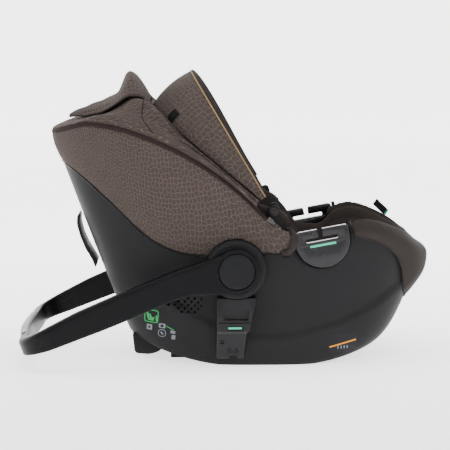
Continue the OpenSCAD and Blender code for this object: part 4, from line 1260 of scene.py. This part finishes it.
def pad_shape(name, x0, x1, half_at, thick, lift, material, lengthways=26, crossways=22):
    """A closed start shape over the backrest, lift mm over the seat. half_at gives half its width at a
    share i of its length, and thick its thickness there, at a share j of that half width."""
    rows = []
    for i in np.linspace(0, 1, lengthways):
        x, half = mix(x0, x1, i), half_at(i)
        top = [pad_point(x, half * j, lift + thick(i, j)) for j in np.linspace(-1, 1, crossways)]
        rows.append(top + [pad_point(x, half * j, lift) for j in np.linspace(1, -1, crossways)])
    piece = grid_object(name, rows, material, tube=True)
    close_ends(piece)
    return piece


def puff(piece, voxel, pressure, limit):
    """Swells a pad: voxel remesh, 20 frames of cloth under pressure without gravity, each point's
    travel capped in mm, then one subdivision."""
    material = piece.data.materials[0]
    apply_modifier(piece, "REMESH", mode="VOXEL", voxel_size=voxel * MM)
    still = np.array([v.co[:] for v in piece.data.vertices])
    swell = piece.modifiers.new("swell", "CLOTH")
    swell.settings.use_pressure = True
    swell.settings.uniform_pressure_force = pressure
    swell.settings.effector_weights.gravity = 0
    for number in range(1, 21):
        bpy.context.scene.frame_set(number)
    grown = piece.evaluated_get(bpy.context.evaluated_depsgraph_get()).data
    moved = np.array([v.co[:] for v in grown.vertices]) - still
    far = np.linalg.norm(moved, axis=1)[:, None]
    moved *= np.minimum(1, limit * MM / np.maximum(far, 1e-9))
    piece.modifiers.remove(swell)
    piece.data.vertices.foreach_set("co", (still + moved).ravel())
    bpy.context.scene.frame_set(1)
    apply_modifier(piece, "SUBSURF", levels=1)
    piece.data.materials.clear()
    piece.data.materials.append(material)
    for face in piece.data.polygons:
        face.use_smooth = True


def press(piece, rule):
    """Moves each point of a finished pad down by a rule of its place in mm, for seams and channels."""
    for v in piece.data.vertices:
        v.co.z -= rule(v.co.x / MM, v.co.y / MM) * MM


def taper(i, start, slope):
    """Share of a pad's full width near its two ends."""
    return min(1, start + slope * min(i, 1 - i))


def headrest_half(i):
    """Half the headrest's width, widest in the middle of its length."""
    return 84 * (0.82 + 0.18 * math.sin(math.pi * i)) * taper(i, 0.55, 3)


def headrest_thick(i, j):
    """Thickness of the headrest, fullest at its two wings."""
    wing = smooth((abs(j) - 0.45) / 0.3)
    return 8 + 6 * wing * math.sin(math.pi * i) ** 0.5 - 3 * abs(j) ** 6


headrest_cloth = cloth("headrest_cloth", "#3f342e", "#5a4c44", 0, sheen=0.3)
headrest = pad_shape("headrest", -116, -218, headrest_half, headrest_thick, 18, headrest_cloth)
puff(headrest, 5.0, 4.0, 5)
press(headrest, lambda x, y: 2.5 * math.exp(-((abs(y) - 40) / 2.2) ** 2))
settle(headrest, "headrest", "embossed_jersey", "headrest")
insert_cloth = cloth("insert_cloth", "#30302f", "#4a4845", 0, sheen=0.3)


def insert_half(i):
    """Half the insert's width, with a waist in the middle of its length."""
    return 66 * (0.84 + 0.16 * math.cos(2 * math.pi * i)) * taper(i, 0.6, 4)


def insert_channels(x, y):
    """Depth of the insert's two long seams and of the cross seams between them."""
    cross = 1.2 * math.exp(-((x % 40 - 20) / 2) ** 2) if abs(y) < 26 else 0
    return 1.4 * math.exp(-((abs(y) - 26) / 2) ** 2) + cross


insert = pad_shape("newborn_insert", 92, -102, insert_half, lambda i, j: 5 + 2.5 * abs(j) ** 2, 8.2,
                   insert_cloth, 36, 18)
puff(insert, 4.5, 3.0, 2.2)
press(insert, insert_channels)
settle(insert, "seat", "smooth_jersey", "newborn_insert")

# ---- Harness ------------------------------------------------------------------------------
# Black 24 mm polyester webbing with padded sleeves on the shoulders and over the crotch, swollen by
# the same short simulation. Steel tongues lead into the buckle; its red button is let in.
webbing = cloth("webbing", "#0c0c0d", "#202023", 0, sheen=0.12, knit_mm=1.6)
sleeve_cloth = cloth("sleeve_cloth", "#382d28", "#54473f", 0, sheen=0.3)


def strap(name, path, half, thick=1.7):
    """Flat webbing along a path of (x, y, height over the seat)."""
    section = ((-1, 0.4), (-0.94, 0), (0, 0), (0.94, 0), (1, 0.4), (1, thick - 0.4), (0.94, thick),
               (0, thick), (-0.94, thick), (-1, thick - 0.4))
    rows = [[pad_point(x, y + half * j, over + t) for j, t in section] for x, y, over in path]
    piece = grid_object(name, rows, webbing, tube=True)
    close_ends(piece)
    sharpen(piece, 50)
    return piece


def sleeve_thick(i, j):
    """Thickness of a belt's sleeve, less at its long edges."""
    return 5.5 - 1.5 * abs(j) ** 4


shoulder_y, belt_lift, sleeve_lift = 46, 19.7, 24.6
for side, word in both_sides:
    path = [(x, side * shoulder_y, belt_lift) for x in np.linspace(27, -108, 28)]
    belt = strap("shoulder_strap_" + word, path, 12)
    settle(belt, "seat", "webbing", "shoulder_strap_" + word)
    sleeve = pad_shape("shoulder_pad_" + word, 6, -98, lambda i: 17 * taper(i, 0.7, 4), sleeve_thick,
                       sleeve_lift, sleeve_cloth, 24, 10)
    for v in sleeve.data.vertices:
        x, y, z = (c / MM for c in v.co)
        new_y = y + side * shoulder_y
        v.co = (x * MM, new_y * MM, (z + 0.004 * (new_y ** 2 - y * y)) * MM)
    puff(sleeve, 4.0, 3.5, 2.4)
    settle(sleeve, "seat", "embossed_jersey", "shoulder_pad_" + word)
crotch_belt = strap("crotch_strap", [(x, 0, belt_lift) for x in np.linspace(122, 66, 14)], 13)
settle(crotch_belt, "seat", "webbing", "crotch_strap")
crotch_pad = pad_shape("crotch_pad", 119, 71, lambda i: 26 * taper(i, 0.7, 3), sleeve_thick,
                       sleeve_lift, sleeve_cloth, 16, 14)
puff(crotch_pad, 4.0, 3.5, 2.4)
settle(crotch_pad, "seat", "embossed_jersey", "crotch_pad")
buckle_black = plastic("buckle_black", "#101012", 0.35, 0.8, 0.03)
button_red = plastic("button_red", "#a3170f", 0.32, 0.8, 0.02)
button_silver = plastic("button_silver", "#6d6f74", 0.34, 0.8, 0.02)
buckle_outline = [(20, 123), (64, 123), (64, 141), (60, 142), (24, 142), (20, 140)]
buckle = prism("buckle_body", rounded(buckle_outline, 4), -25, 25, buckle_black, 4.0, 4)
cut(buckle, [prism("button_tool", corners(32.7, 128, 51.3, 146), -12.3, 12.3)]
    + [prism("tongue_tool", corners(30, 130, 54, 134), near, far)
       for near, far in ((-30, -22), (22, 30))])
sharpen(buckle, 45)
settle(buckle, "seat", "trim_plastic", "buckle_body")
red = prism("buckle_button", rounded(corners(33, 133.5, 51, 142.6), 1.5),
            -12, 12, button_red, 1.4)
cut(red, [prism("press_tool", rounded(corners(37, 141.8, 47, 146), 0.5), -6, 6)])
settle(red, "buckle_button", "red_button", "buckle_button")
for side, word in both_sides:
    near, far = sorted((side * 26.2, side * 46))
    outline = rounded(corners(30, 130.6, 54, 133.4), 1)
    tongue = prism("buckle_tongue_" + word, outline, near, far, zinc_steel, 0.5)
    slot_near, slot_far = sorted((side * 37, side * 42))
    cut(tongue, [prism("slot_tool", corners(34, 128, 50, 136), slot_near, slot_far)])
    settle(tongue, "seat", "bare_steel")
    if side < 0:
        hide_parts("buckle_tongues")

# ---- Harness adjuster ---------------------------------------------------------------------
# A low housing at the foot of the seat with a grey button that frees the strap, and the strap's
# tail that lies in front of it.
housing_outline = [(167, 128), (213, 134), (213, 154), (208, 156), (172, 156), (167, 152)]
housing = prism("adjuster_housing", rounded(housing_outline, 4), -20, 20, buckle_black, 3.0, 4)
cut(housing, [prism("button_tool", corners(177.6, 146, 202.4, 162), -11.4, 11.4),
              prism("strap_tool", corners(205, 137, 220, 142), -14, 14)])
sharpen(housing, 45)
settle(housing, "seat", "trim_plastic", "adjuster_housing")
key = prism("adjuster_button", rounded(corners(178, 152, 202, 157.8), 1.4),
            -11, 11, button_silver, 1.2)
settle(key, "adjuster_button", "grey_button", "adjuster_button")
tail_path = [(x, 0, 3.2 + 1.5 * math.sin((x - 210) * 0.11)) for x in np.linspace(208, 246, 16)]
tail = strap("adjuster_strap", tail_path, 12)
settle(tail, "seat", "webbing", "adjuster_strap")
